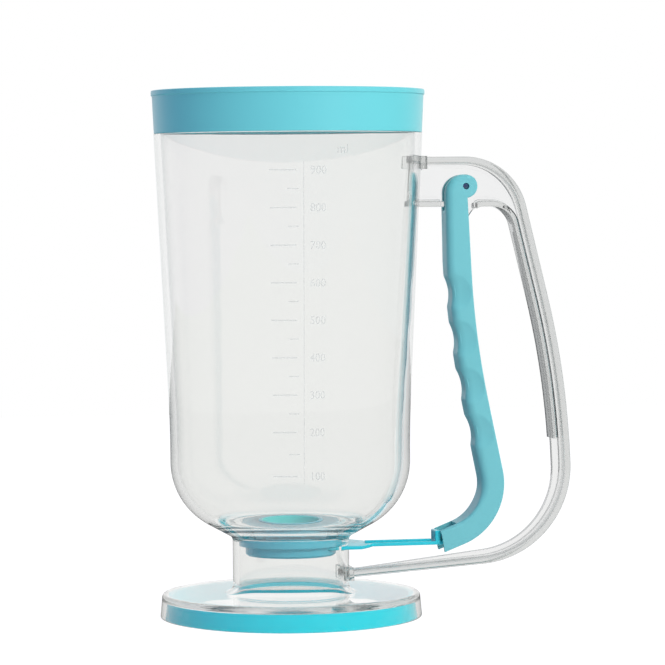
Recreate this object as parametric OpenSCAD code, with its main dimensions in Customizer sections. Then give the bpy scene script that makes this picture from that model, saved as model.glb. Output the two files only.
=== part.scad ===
// Pancake batter dispenser: a clear jug with a press-on lid, a clear handle and a
// squeeze trigger that slides a flat gate out from under the outlet.
// Origin: centre of the base ring's underside. +Z up, the handle lies towards +X.

/* [Base] */
// Outer radius of the foot at the table
base_r = 53.5; // [50:0.1:58]
// How far the skirt flares out below the foot plate
base_flare = 0.9; // [0.3:0.1:2]
// Height of the foot plate's top face
base_h = 10.3; // [9:0.1:14]
// Thickness of the foot plate
base_plate_t = 2.6; // [2:0.1:3.5]
// Rounding of the foot plate's top edge
base_edge_r = 1.8; // [0.8:0.1:2]
// Thickness of the skirt under the foot plate
skirt_t = 2; // [1.4:0.1:2.6]
// Height of the skirt's lower edge above the table
skirt_lift = 0.4; // [0.2:0.1:1]
// Height of the coloured ring inside the skirt
ring_h = 7.4; // [5:0.1:7.6]
// Radial thickness of the coloured ring
ring_t = 2.4; // [1.6:0.1:4]

/* [Throat] */
// Outer radius of the throat
throat_r = 23.8; // [22.5:0.1:26]
// Wall of the throat
throat_wall = 2.4; // [1.8:0.1:2.6]
// Rounding where the throat stands on the foot plate
throat_flare_r = 3.5; // [2:0.1:4]
// Height at which the bowl's underside would cut the throat's outside
neck_z = 33.1; // [32:0.1:34]
// Rounding of that neck
neck_r = 2.5; // [1:0.1:3]
// Thickness of the floor round the outlet
floor_t = 4; // [3:0.1:4.4]

/* [Jug] */
// Wall of the jug
wall_t = 2.8; // [2:0.1:3.2]
// Outer radius of the jug just above the bowl
jug_low_r = 48.9; // [46:0.1:50]
// Outer radius of the jug under the lid
jug_top_r = 54.7; // [53.6:0.1:57]
// Height of the shoulder that the lid stands on
shoulder_z = 197.6; // [185:0.1:205]
// Rise of the bowl's conical underside, up to the line of the wall
bowl_rise = 13.8; // [12:0.1:15]
// Rounding of the bowl's outside
bowl_r = 29; // [24:0.5:30]
// Height at which the wall starts to lean outwards
lean_z = 79; // [76:0.5:90]
// Radius of the easing between the upright and the leaning wall
lean_r = 480; // [300:10:500]
// Height of the rim inside the lid
rim_h = 12; // [8:0.1:13]
// Thickness of the rim inside the lid
rim_t = 1.3; // [1:0.1:1.6]

/* [Lid] */
// Height of the lid's band
lid_h = 17.4; // [15.5:0.1:20]
// How far the lid's top edge stands out past the jug's wall
lid_over = 0.9; // [0.5:0.1:3]
// How far the lid's lower edge is set in from the jug's wall
lid_set_in = 0.2; // [0:0.1:0.3]
// Thickness of the lid's top
lid_t = 2; // [1.5:0.1:2.5]
// Height of the proud lip round the top of the band
lid_lip_h = 2; // [1:0.1:3]
// How far that lip stands proud
lid_lip = 0.4; // [0.2:0.1:0.8]
// Depth of the panel sunk into the lid's top
lid_panel = 0.8; // [0.3:0.1:1]
// Radial gap between the lid and the rim
lid_gap = 0.3; // [0.2:0.05:0.4]
// Length of the plug ring inside the rim
lid_plug_h = 5; // [3:0.1:7]
// Thickness of the plug ring
lid_plug_t = 1.4; // [1:0.1:2]

/* [Valve] */
// Radius of the outlet
outlet_r = 11.8; // [9:0.1:12.2]
// Wall of the seat's collar that lines the outlet
collar_t = 1; // [0.8:0.1:1.4]
// How far the collar's snap bead stands above the jug's floor
collar_rise = 1.8; // [1:0.1:3]
// How far the snap bead overhangs the floor
bead_lip = 0.5; // [0.3:0.1:0.8]
// Gap between the seat and the throat
seat_gap = 0.3; // [0.2:0.1:0.6]
// Outer radius of the ring under the gate
ring_low_r = 18.5; // [18:0.1:19.5]
// Height of the outlet ring's lower rim
outlet_z = 25.8; // [24:0.1:26.5]
// Thickness of the gate
gate_t = 1.4; // [1:0.1:1.6]
// Height of the gate's underside
gate_z = 28.3; // [28:0.1:28.8]
// Half width of the gate's blade
blade_half = 13.7; // [13:0.1:14.2]
// Distance from the outlet's axis to the end of the wide blade
blade_reach = 31; // [28:0.5:34]
// Width of the gate's arm
arm_w = 8.4; // [6:0.1:9]
// Sliding clearance round the gate
gate_gap = 0.2; // [0.15:0.05:0.25]
// Side clearance between the blade and its rails
rail_gap = 0.4; // [0.3:0.1:0.6]

/* [Handle] */
// Height of the handle's top face
handle_top = 187.7; // [180:0.1:190]
// Distance from the jug's axis to the back of the handle
handle_reach = 117; // [112:0.5:125]
// Lean of the handle's back above the grip's middle, per millimetre of height
handle_lean = 0.243; // [0.2:0.001:0.27]
// Height of the bend in the grip
grip_bend_z = 97.5; // [90:0.5:105]
// Radius of the bend in the grip
grip_bend_r = 345; // [200:5:345]
// Radius of the handle's arch
arch_r = 26.5; // [22:0.5:28]
// Radius of the handle's lower corner
heel_r = 40; // [32:0.5:42]
// Height of the lower bar's underside at the throat
bar_z = 15.9; // [15:0.1:17]
// Rise of the lower bar's underside towards the heel
bar_rise = 6.9; // [5:0.1:8]
// Height of the lower bar at the throat
bar_end_h = 2.8; // [2.6:0.1:4]
// Width of the handle's flanges
flange_w = 11.5; // [10:0.1:14]
// Thickness of the outer flange
flange_t = 2.6; // [2:0.1:2.8]
// Thickness of the inner flange
inner_flange_t = 2.2; // [1.6:0.1:2.4]
// Thickness of the web between the flanges
web_t = 3; // [2.4:0.1:3.2]
// Depth of the grip from its inner to its outer face
grip_depth = 6.8; // [6.4:0.1:8]
// Height of the web's lower edge under the arch
web_low_z = 167.2; // [166.8:0.1:168]
// How far the arch's underside hooks down behind the trigger
hook_drop = 5.6; // [4:0.1:6]
// Rounding of the arch's inner corner
arch_in_r = 9.5; // [6:0.5:12]
// Height at which the inner flange ends
inner_flange_end_z = 71; // [66:0.5:80]
// Width of the pad that joins the handle to the jug
top_pad_w = 23; // [18:0.5:26]
// Height of that pad
top_pad_h = 5.3; // [4.5:0.1:7]
// Length of that pad from the jug's wall
pad_reach = 3; // [2:0.1:4]
// Height of the pad that joins the handle to the throat
low_pad_h = 5.4; // [4:0.1:6]
// Width of that pad
low_pad_w = 16; // [12:0.5:22]
// Length of that pad from the throat's wall
low_pad_reach = 1; // [0.6:0.1:3]

/* [Trigger] */
// Distance from the jug's axis to the trigger's pivot
pivot_x = 72.9; // [71.5:0.1:74]
// Height of the trigger's pivot
pivot_z = 175.6; // [175:0.1:176.4]
// Distance from the jug's axis to the finger side above the grooves
finger_shank_x = 65.2; // [64.9:0.1:65.6]
// Height at which the finger side starts to lean away from the jug
finger_shank_z = 141; // [139:0.5:144]
// Distance from the jug's axis to the corner of the finger side's gentle bend
finger_bend_x = 69.4; // [69:0.1:69.8]
// Height of that corner
finger_bend_z = 104.2; // [103:0.1:106]
// Distance from the jug's axis to the corner of the finger side's elbow
finger_elbow_x = 81.8; // [81.4:0.1:82.4]
// Height of that corner
finger_elbow_z = 42.3; // [41.8:0.1:42.8]
// Distance from the jug's axis to the corner of the palm side's gentle bend
palm_bend_x = 76.5; // [76.2:0.1:76.9]
// Height of that corner
palm_bend_z = 113.6; // [112:0.1:115]
// Distance from the jug's axis to the corner of the palm side's elbow
palm_elbow_x = 92.5; // [92:0.1:93]
// Height of that corner
palm_elbow_z = 36.7; // [36.2:0.1:37.2]
// Radius of the trigger's gentle bend
trigger_bend_r = 350; // [250:5:360]
// Radius of the elbow's finger side
elbow_in_r = 17; // [10:0.5:20]
// Radius of the elbow's palm side
elbow_out_r = 26.5; // [20:0.5:28]
// Distance from the jug's axis to the trigger's lower tip
tip_x = 63.3; // [63:0.1:64]
// Height of the lower tip
tip_z = 25.3; // [24.5:0.1:26]
// Depth of the trigger at its lower end
tip_depth = 8.9; // [8.6:0.1:9.2]
// How far the lower end leans over the tip
tip_rake = 1.9; // [1:0.1:2]
// Width of the trigger
trigger_w = 13; // [13:0.1:15]
// Thickness of the trigger's cheeks
cheek_t = 1.5; // [1.3:0.1:1.6]
// Thickness of the trigger's finger wall
finger_wall_t = 2; // [1.7:0.1:2.2]
// Radius of the trigger's head
head_r = 4.8; // [4.6:0.1:5]
// Radius of the pivot pin
pin_r = 1.3; // [1.1:0.05:1.4]
// Running clearance of the trigger on its pin
pin_clearance = 0.05; // [0.02:0.01:0.1]
// Recess of the pin's ends in the cheeks
pin_recess = 0.7; // [0.3:0.1:1]
// Gap between the web and the sides of the slot in the trigger
web_slot_gap = 0.5; // [0.3:0.1:0.7]
// Number of finger grooves
grooves = 4; // [3:1:4]
// Height of the top groove
groove_z = 132.4; // [131:0.1:134]
// Distance from groove to groove
groove_pitch = 19.2; // [18:0.1:20]
// Depth of a groove in the finger wall
groove_depth = 1.2; // [0.6:0.1:1.2]
// Radius of a groove
groove_r = 16; // [12:0.5:20]
// Radius of the scoop that a groove ends in on each cheek
scoop_r = 5.6; // [4:0.1:6]
// Depth of that scoop
scoop_depth = 0.6; // [0.3:0.1:0.8]
// Distance from the jug's axis to the link bar
link_x = 63.7; // [63.6:0.1:64.4]
// Height of the link bar's centre
link_z = 32; // [31.8:0.1:32.2]
// Radius of the link bar
link_r = 1.5; // [1.2:0.1:1.5]
// Gap between the link bar and each of the gate's tabs
link_gap = 0.3; // [0.25:0.05:0.4]
// Thickness of each tab
tab_t = 2.2; // [1.6:0.1:2.4]
// Height of the tabs above the arm
tab_h = 4.4; // [3.4:0.1:4.4]

/* [Spring] */
// Radius of the spring's wire
wire_r = 0.3; // [0.25:0.01:0.35]
// Mean radius of the spring's coil
coil_r = 2; // [1.9:0.05:2.05]
// Number of turns
coil_turns = 3; // [2:1:3]
// Length of the leg that pushes the trigger
leg_length = 14; // [10:0.5:16]

/* [Hidden] */
$fn = 96;

arc_step = 5;          // degrees between the points of a rounded corner
arc_chord = 12;        // longest chord on a gentle bend
eps = 0.01;            // overlap that keeps a cut open
seat_touch = 0.1;      // gap between moulded pieces that are fixed together
clear = [0.88, 0.93, 0.93, 0.45];
aqua = [0.42, 0.77, 0.82];
cyan = [0.2, 0.8, 0.86];

// ---- paths: corner lists [x, y, radius] ----

function xy(c) = [c[0], c[1]];
function way(a, b) = (xy(b) - xy(a)) / norm(xy(b) - xy(a));
function left_of(v) = [-v[1], v[0]];
function turned(v, a) = [v[0] * cos(a) - v[1] * sin(a), v[0] * sin(a) + v[1] * cos(a)];
function side_of(p, i) = cross(way(p[i - 1], p[i]), way(p[i], p[i + 1])) > 0 ? 1 : -1;

// Corner i of path p moved d to the left of travel, its rounding kept concentric
function shifted_corner(p, i, d) =
    i == 0 ? concat(xy(p[0]) + d * left_of(way(p[0], p[1])), [0]) :
    i == len(p) - 1 ? concat(xy(p[i]) + d * left_of(way(p[i - 1], p[i])), [0]) :
    let (u = way(p[i - 1], p[i]), v = way(p[i], p[i + 1]))
    concat(xy(p[i]) + d * (left_of(u) + left_of(v)) / (1 + u * v),
           [p[i][2] > 0 ? max(0.2, p[i][2] - d * side_of(p, i)) : 0]);
function shifted(p, d) = [for (i = [0:len(p) - 1]) shifted_corner(p, i, d)];

// Points of corner i with its rounding
function corner(p, i) =
    i == 0 || i == len(p) - 1 || p[i][2] == 0 ? [xy(p[i])] :
    let (u = way(p[i - 1], p[i]), v = way(p[i], p[i + 1]), side = side_of(p, i), r = p[i][2],
         turn = acos(u * v),
         centre = xy(p[i]) - u * r * tan(turn / 2) + side * r * left_of(u),
         steps = max(2, ceil(turn / arc_step), ceil(turn * r * PI / 180 / arc_chord)))
    [for (k = [0:steps]) centre - turned(side * r * left_of(u), side * turn * k / steps)];
function smooth(p) = [for (i = [0:len(p) - 1]) each corner(p, i)];
function backwards(a) = [for (i = [len(a) - 1:-1:0]) a[i]];
function strip(p, a, b) = concat(smooth(shifted(p, a)), backwards(smooth(shifted(p, b))));

// X on the straight line through a and b at height z
function x_at(a, b, z) = a[0] + (b[0] - a[0]) * (z - a[1]) / (b[1] - a[1]);

// A flat outline in the XZ plane given a width along Y
module plate(w) {
    rotate([90, 0, 0]) linear_extrude(height = w, center = true) children();
}

// A round bar along Y
module cross_bar(x, z, r, w) {
    translate([x, 0, z]) rotate([90, 0, 0]) cylinder(h = w, r = r, center = true);
}

// ---- container ----

rim_r = jug_top_r - wall_t + rim_t;             // outer radius of the rim
throat_in_r = throat_r - throat_wall;
base_top_r = base_r - base_flare;               // radius of the foot plate's top edge
bowl_z = neck_z + bowl_rise;                    // where cone and wall lines meet
floor_rise = 2.1;                               // from the neck up to the floor's underside
floor_z = neck_z + floor_rise + floor_t;        // top of the floor
floor_under_z = floor_z - floor_t;
hole_r = outlet_r + collar_t + seat_touch;      // hole in the floor round the collar
lean_in_r = jug_low_r - wall_t;

outside = [
    [base_r, skirt_lift, 0],
    [base_top_r, base_h, base_edge_r],
    [throat_r, base_h, throat_flare_r],
    [throat_r, neck_z, neck_r],
    [jug_low_r, bowl_z, bowl_r],
    [jug_low_r, lean_z, lean_r],
    [jug_top_r, shoulder_z, 0]
];
inside = [
    [jug_top_r - wall_t, shoulder_z + rim_h, 0],
    [jug_top_r - wall_t, shoulder_z, 0],
    [lean_in_r, lean_z, lean_r],
    [lean_in_r, floor_z, bowl_r - wall_t],
    [hole_r, floor_z, 0]
];
underside = [
    [hole_r, floor_under_z, 0],
    [throat_in_r, floor_under_z, 0.8],
    [throat_in_r, base_h - base_plate_t, throat_flare_r + throat_wall],
    [base_top_r - skirt_t, base_h - base_plate_t, 0.6],
    [base_r - skirt_t, skirt_lift, 0]
];

lug_angles = [70, 180, 290];    // snap lugs under the seat, clear of the gate's slot
lug_w = 6;
lug_h = 1.6;
lug_reach = 1.2;
lug_root = 0.5;                                 // how deep a lug is rooted in the throat's wall
slot_side_gap = 0.4;                            // from the rails out to the sides of the gate's slot
seat_z = gate_z + gate_t + gate_gap;            // underside of the seat
slot_half = blade_half + rail_gap + slot_side_gap;

module container() color(clear) {
    difference() {
        rotate_extrude() polygon(concat(smooth(outside),
            [[rim_r, shoulder_z], [rim_r, shoulder_z + rim_h]],
            smooth(inside), smooth(underside)));
        // slot that the gate slides through
        translate([throat_in_r * 0.6, -slot_half, gate_z - gate_gap])
            cube([throat_r, 2 * slot_half, gate_t + 2 * gate_gap]);
    }
    for (a = lug_angles) rotate(a) seat_lug();
}

// Wedge on the throat's inside that the seat snaps over
module seat_lug() {
    intersection() {
        rotate([90, 0, 0]) linear_extrude(height = lug_w, center = true)
            polygon([[throat_in_r + lug_root, seat_z - lug_h - lug_reach], [throat_in_r + lug_root, seat_z],
                     [throat_in_r - lug_reach, seat_z], [throat_in_r - lug_reach, seat_z - lug_h / 2]]);
        cylinder(h = seat_z, r = throat_in_r + lug_root);
    }
}

// ---- lid ----

lid_z = shoulder_z + lid_h;                     // top of the lid
lid_top_r = jug_top_r + lid_over;
lid_low_r = jug_top_r - lid_set_in;
lid_soft = 0.4;                                 // softened edges
lid_panel_edge = 2;                             // from the sunk panel to the band's outside
plug_r = jug_top_r - wall_t - lid_gap;

module lid() color(aqua)
    rotate_extrude() polygon([
        [0, lid_z - lid_panel],
        [lid_low_r - lid_panel_edge, lid_z - lid_panel],
        [lid_low_r - lid_panel_edge + lid_panel, lid_z],
        [lid_top_r - lid_soft, lid_z],
        [lid_top_r, lid_z - lid_soft],
        [lid_top_r, lid_z - lid_lip_h],
        [lid_top_r - lid_lip, lid_z - lid_lip_h - lid_soft],
        [lid_low_r, shoulder_z],
        [rim_r + lid_gap, shoulder_z],
        [rim_r + lid_gap, lid_z - lid_panel - lid_t],
        [plug_r, lid_z - lid_panel - lid_t],
        [plug_r, lid_z - lid_panel - lid_t - lid_plug_h + lid_soft],
        [plug_r - lid_soft, lid_z - lid_panel - lid_t - lid_plug_h],
        [plug_r - lid_plug_t, lid_z - lid_panel - lid_t - lid_plug_h],
        [plug_r - lid_plug_t, lid_z - lid_panel - lid_t],
        [0, lid_z - lid_panel - lid_t]
    ]);

// ---- handle ----

bend_out = 1.5;                 // from the corner of the grip's bend out to the furthest point of the back
heel_out = 1.6;                 // from that point out to the heel's corner
bend_x = handle_reach - bend_out;
throat_x = throat_r - 1;        // inside the throat's outline, cut back to the pad
wall_x = jug_low_r;             // inside the jug's outline, cut back to the wall
back = [
    [wall_x, handle_top, 0],
    [bend_x - handle_lean * (handle_top - grip_bend_z), handle_top, arch_r],
    [bend_x, grip_bend_z, grip_bend_r],
    [handle_reach + heel_out, bar_z + bar_rise, heel_r],
    [throat_x, bar_z, 0]
];
back_in = shifted(back, -grip_depth);
hook_x = pivot_x + 1.1;         // back of the hook, level with the trigger's back
hook_w = 2.4;                   // width of the hook's tip
hook_slope = 0.4;               // rise of the hook's tip towards the jug
hook_r = 5;                     // rounding from the hook into the arch
hook_way = 3.8;                 // from the hook's back to where its rounding meets the arch
front = [
    [hook_x, web_low_z - hook_drop, 0],
    [hook_x + hook_way, web_low_z, hook_r],
    [x_at(back_in[1], back_in[2], web_low_z), web_low_z, arch_in_r],
    back_in[2],
    back_in[3],
    [throat_x, bar_z + bar_end_h, 0]
];
head_gap = 9.1;                 // from the pivot to the end of the flange beside the jug
front_flange_x = pivot_x - head_gap;
pad_proud = 0.3;                // how far the upper pad stands above the arch
low_pad_drop = 1.2;             // how far the lower pad hangs below the bar
low_pad_root = 4;               // inside the throat's outline, cut back to the wall
boss_r = 2.3;
boss_gap = 0.3;
cheek_in = trigger_w / 2 - cheek_t;             // half of the space between the cheeks
spring_foot = [-2.5, -5.6];                     // from the pivot to the spring's hole in the web
spring_hole = [pivot_x + spring_foot[0], pivot_z + spring_foot[1]];
spring_hole_gap = 0.1;

module handle() color(clear) difference() {
    union() {
        // web, with the plate that fills the arch
        plate(web_t) polygon(concat(smooth(shifted(back, -flange_t / 2)), backwards(smooth(front)),
            [[hook_x - hook_w, web_low_z - hook_drop + hook_slope], [hook_x - 1.5 * hook_w, web_low_z],
             [wall_x, web_low_z]]));
        // outer flange
        plate(flange_w) polygon(strip(back, 0, -flange_t));
        // inner flange, open where the trigger straddles the web
        plate(flange_w) difference() {
            polygon(strip(front, 0, inner_flange_t));
            translate([0, -1]) square([2 * handle_reach, inner_flange_end_z + 1]);
            translate([0, web_low_z - 2 * hook_drop]) square([hook_x + hook_way - 0.4, 4 * hook_drop]);
        }
        plate(flange_w) translate([wall_x, web_low_z]) square([front_flange_x - wall_x, inner_flange_t]);
        // pads on the jug and on the throat
        translate([wall_x, -top_pad_w / 2, handle_top + pad_proud - top_pad_h])
            cube([jug_top_r + pad_reach - wall_x, top_pad_w, top_pad_h]);
        translate([throat_r - low_pad_root, -low_pad_w / 2, bar_z - low_pad_drop])
            cube([low_pad_root + low_pad_reach, low_pad_w, low_pad_h]);
        // boss that keeps the trigger central
        translate([pivot_x, 0, pivot_z]) rotate([90, 0, 0]) cylinder(h = cheek_in - boss_gap, r = boss_r);
    }
    outside_envelope(seat_touch);
    cross_bar(pivot_x, pivot_z, pin_r, 2 * trigger_w);
    translate([spring_hole[0], 0, spring_hole[1]]) rotate([90, 0, 0])
        cylinder(h = web_t + 1, r = wire_r + spring_hole_gap, center = true);
}

// Solid of the container's outside, grown by g, that the handle is cut back to
module outside_envelope(g) {
    rotate_extrude() polygon(concat([[0, 0]], smooth(shifted(outside, -g)),
                                    [[0, shoulder_z]]));
}

// ---- trigger ----

brow_out = 8.3;                 // from the pivot to the corner above the finger side
brow_r = 7.6;
shank_r = 120;                  // rounding where the finger side starts to lean
finger_side = [
    [pivot_x, pivot_z + head_r, 0],
    [pivot_x - brow_out, pivot_z + head_r, brow_r],
    [finger_shank_x, finger_shank_z, shank_r],
    [finger_bend_x, finger_bend_z, trigger_bend_r],
    [finger_elbow_x, finger_elbow_z, elbow_in_r],
    [tip_x - tip_rake, tip_z + tip_depth, 0]
];
hook_a = -82;                   // where the back leaves the round head
palm_side = [
    [pivot_x + head_r * cos(hook_a), pivot_z + head_r * sin(hook_a), 0],
    [palm_bend_x, palm_bend_z, trigger_bend_r],
    [palm_elbow_x, palm_elbow_z, elbow_out_r],
    [tip_x, tip_z, 0]
];
finger_line = smooth(finger_side);
function finger_x(z) = lookup(z, [for (i = [len(finger_line) - 1:-1:0])
    if (finger_line[i][1] > 60) [finger_line[i][1], finger_line[i][0]]]);
web_slot = web_t + 2 * web_slot_gap;
web_slot_drop = 1.7;            // from the web's lower edge down to the bottom of the slot
web_slot_z = web_low_z - web_slot_drop;
rib_z = [150, 122.8, 103.6, 84.4];
rib_t = 1.4;
rib_reach = 4.4;
sink = 0.5;                                             // how deep ribs and link bar run into the cheeks
notch_gap = 1;                                          // from the gate's rear tab to the end of the notch
notch_x = link_x + link_r + link_gap + tab_t + notch_gap;
scoop_in = 1.9;                                         // from the finger side to a scoop's middle

module trigger() color(aqua) difference() {
    union() {
        difference() {
            plate(trigger_w) polygon(concat(finger_line, backwards(smooth(palm_side)),
                [for (a = [hook_a + 6:6:84]) [pivot_x + head_r * cos(a), pivot_z + head_r * sin(a)]]));
            // channel between the cheeks, open towards the handle
            plate(2 * cheek_in) polygon(concat(smooth(shifted(finger_side, finger_wall_t)),
                [[jug_low_r, tip_z], [jug_low_r, 0], [handle_reach, 0],
                 [handle_reach, pivot_z + head_r - finger_wall_t]]));
            // slot in the finger wall for the handle's web
            translate([wall_x, -web_slot / 2, web_slot_z])
                cube([handle_reach - wall_x, web_slot, pivot_z + 2 * head_r - web_slot_z]);
            // notch in the finger wall over the link bar
            translate([wall_x, -cheek_in, 0]) cube([notch_x - wall_x, 2 * cheek_in, tip_z + 2 * tip_depth]);
        }
        // ribs across the channel
        for (z = rib_z) plate(trigger_w - 2 * sink)
            translate([finger_x(z) + finger_wall_t / 2, z]) square([rib_reach, rib_t]);
        // bar that the gate clips on
        cross_bar(link_x, link_z, link_r, trigger_w - 2 * sink);
    }
    cross_bar(pivot_x, pivot_z, pin_r + pin_clearance, 2 * trigger_w);
    for (i = [0:grooves - 1]) finger_groove(groove_z - i * groove_pitch);
}

// A finger's groove across the finger wall, ending in a scoop on each cheek
module finger_groove(z) {
    ball_r = (scoop_r * scoop_r + scoop_depth * scoop_depth) / (2 * scoop_depth);
    cross_bar(finger_x(z) + groove_depth - groove_r, z, groove_r, 2 * trigger_w);
    for (s = [-1, 1])
        translate([finger_x(z) + scoop_in, s * (trigger_w / 2 - scoop_depth + ball_r), z])
            sphere(r = ball_r);
}

// ---- pivot pin ----

module pivot_pin() color("silver")
    cross_bar(pivot_x, pivot_z, pin_r, trigger_w - 2 * pin_recess);

// ---- return spring ----

// Route of the wire: foot in the web's hole, leg to the coil, turns, leg to the finger wall
coil_side_gap = 0.3;            // between the web and the first turn
coil_gap = 0.1;                 // between the turns
leg_start = 3;                  // from the pivot down to where a leg leaves the coil
coil_y = web_t / 2 + coil_side_gap + wire_r;
coil_step = 2 * wire_r + coil_gap;
coil_y_end = coil_y + coil_turns * coil_step;
coil_sides = 14;
leg_touch = 0.15;
wire_route = concat(
    [[spring_hole[0], 0, spring_hole[1]],
     [spring_hole[0], coil_y, spring_hole[1]],
     [pivot_x + coil_r, coil_y, pivot_z - leg_start]],
    [for (k = [0:coil_turns * coil_sides + coil_sides / 2])
        let (a = 360 * k / coil_sides)
        [pivot_x + coil_r * cos(a), coil_y + coil_step * k / coil_sides, pivot_z + coil_r * sin(a)]],
    [[pivot_x - coil_r - wire_r, coil_y_end + coil_step / 2, pivot_z - leg_start],
     [finger_x(pivot_z - leg_length) + finger_wall_t + wire_r + leg_touch,
      coil_y_end + coil_step / 2, pivot_z - leg_length]]);

function wire_way(p, i) = let (a = p[max(0, i - 1)], b = p[min(len(p) - 1, i + 1)]) (b - a) / norm(b - a);
wire_sides = 6;
module return_spring() color("silver") {
    n = len(wire_route);
    rings = [for (i = [0:n - 1])
        let (t = wire_way(wire_route, i),
             ref = abs(t[1]) > 0.9 ? [1, 0, 0] : [0, 1, 0],
             u = cross(ref, t) / norm(cross(ref, t)), v = cross(t, u))
        for (k = [0:wire_sides - 1])
            wire_route[i] + wire_r * (cos(360 * k / wire_sides) * u + sin(360 * k / wire_sides) * v)];
    polyhedron(points = rings, faces = concat(
        [[for (k = [0:wire_sides - 1]) k]],
        [for (i = [0:n - 2], k = [0:wire_sides - 1])
            let (k2 = (k + 1) % wire_sides)
            [i * wire_sides + k, (i + 1) * wire_sides + k, (i + 1) * wire_sides + k2, i * wire_sides + k2]],
        [[for (k = [wire_sides - 1:-1:0]) (n - 1) * wire_sides + k]]), convexity = 10);
}

// ---- gate slider ----

tab_x = link_x - link_r - link_gap;             // rear face of the front tab
arm_end = link_x + link_r + link_gap + tab_t;
corner_x = blade_reach - 4;                     // where the blade's sides start to taper
corner_in = 5;                                  // how far they come in by the blade's end
neck_x = blade_reach + 2.5;                     // where the taper meets the arm
arm_rib_w = 1.6;
arm_rib_h = 0.8;

module gate_slider() color(cyan) difference() {
    union() {
        translate([0, 0, gate_z]) linear_extrude(height = gate_t) {
            circle(r = blade_half);
            translate([0, -blade_half]) square([corner_x, 2 * blade_half]);
            // shoulders that taper to the arm
            polygon([[corner_x - eps, -blade_half], [blade_reach, -blade_half + corner_in],
                     [neck_x, -arm_w / 2], [arm_end, -arm_w / 2],
                     [arm_end, arm_w / 2], [neck_x, arm_w / 2],
                     [blade_reach, blade_half - corner_in], [corner_x - eps, blade_half]]);
        }
        // stiffening rib along the arm
        translate([blade_reach, -arm_rib_w / 2, gate_z + gate_t - eps])
            cube([tab_x - tab_t - 1 - blade_reach, arm_rib_w, arm_rib_h]);
        // tabs that hold the trigger's link bar between them
        for (x = [tab_x - tab_t, arm_end - tab_t])
            translate([x, -arm_w / 2, gate_z + gate_t - eps]) cube([tab_t, arm_w, tab_h]);
    }
    // fork behind the link bar, clear of the handle's web when the gate is open
    translate([link_x, -web_slot / 2, gate_z - 1])
        cube([arm_end - link_x + 1, web_slot, gate_t + tab_h + 2]);
}

// ---- valve ----

peg_r = 1;
peg_x = 6;
peg_y = 16.2;
peg_at = [[peg_x, peg_y], [-peg_x, peg_y], [peg_x, -peg_y], [-peg_x, -peg_y]];
peg_h = 2;
peg_gap = 0.2;                                  // over the pegs' ends
seat_step = 0.9;                                // how far the seat's top is set in
seat_step_z = floor_under_z - 0.5;
seat_soft = 0.9;                                // height of the slope up to that step
bead_soft = 0.5;
lip_soft = 0.4;
ring_bore_gap = 0.6;                            // from the outlet out to the bore of the ring under it
ring_soft = 0.8;
ring_r = outlet_r + ring_bore_gap;

module valve_seat() color(aqua) difference() {
    rotate_extrude() polygon([
        [outlet_r, seat_z],
        [throat_in_r - seat_gap, seat_z],
        [throat_in_r - seat_gap, seat_step_z - seat_soft],
        [throat_in_r - seat_gap - seat_step, seat_step_z],
        [throat_in_r - seat_gap - seat_step, floor_under_z],
        [outlet_r + collar_t, floor_under_z],
        [outlet_r + collar_t, floor_z],
        [outlet_r + collar_t + bead_lip, floor_z],
        [outlet_r + collar_t + bead_lip, floor_z + collar_rise - bead_soft],
        [outlet_r + collar_t, floor_z + collar_rise],
        [outlet_r + lip_soft, floor_z + collar_rise],
        [outlet_r, floor_z + collar_rise - lip_soft]
    ]);
    for (p = peg_at) translate([p[0], p[1], seat_z - eps]) cylinder(h = peg_h + peg_gap, r = peg_r, $fn = 32);
}

module outlet_ring() color(aqua) {
    difference() {
        rotate_extrude() polygon([
            [ring_r, outlet_z],
            [ring_low_r - ring_soft, outlet_z],
            [ring_low_r, outlet_z + ring_soft],
            [ring_low_r, seat_z],
            [ring_r, seat_z]
        ]);
        // channel that the blade slides in
        translate([0, 0, gate_z - gate_gap]) linear_extrude(height = gate_t + 2 * gate_gap + eps) {
            circle(r = blade_half + rail_gap);
            translate([0, -blade_half - rail_gap]) square([ring_low_r + 2, 2 * (blade_half + rail_gap)]);
        }
    }
    for (p = peg_at) translate([p[0], p[1], seat_z - eps]) cylinder(h = peg_h, r = peg_r, $fn = 32);
}

// ---- base ring ----

ring_gap = 0.2;                                 // between the ring and the skirt
ring_foot_soft = 0.4;
ring_in_r = base_top_r - skirt_t - ring_gap - ring_t;

module base_ring() color(cyan)
    rotate_extrude() polygon([
        [base_top_r - skirt_t - ring_gap, ring_h],
        [ring_in_r, ring_h],
        [ring_in_r, 0],
        [base_r - skirt_t - ring_gap - ring_foot_soft, 0],
        [base_r - skirt_t - ring_gap, skirt_lift]
    ]);

container();
lid();
handle();
trigger();
pivot_pin();
return_spring();
gate_slider();
valve_seat();
outlet_ring();
base_ring();
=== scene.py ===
"""A clear batter jug with a press-on lid, and a squeeze trigger that slides a gate under its outlet."""

import math

import bmesh
import bpy
import numpy as np
from mathutils import Matrix, Vector


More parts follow.
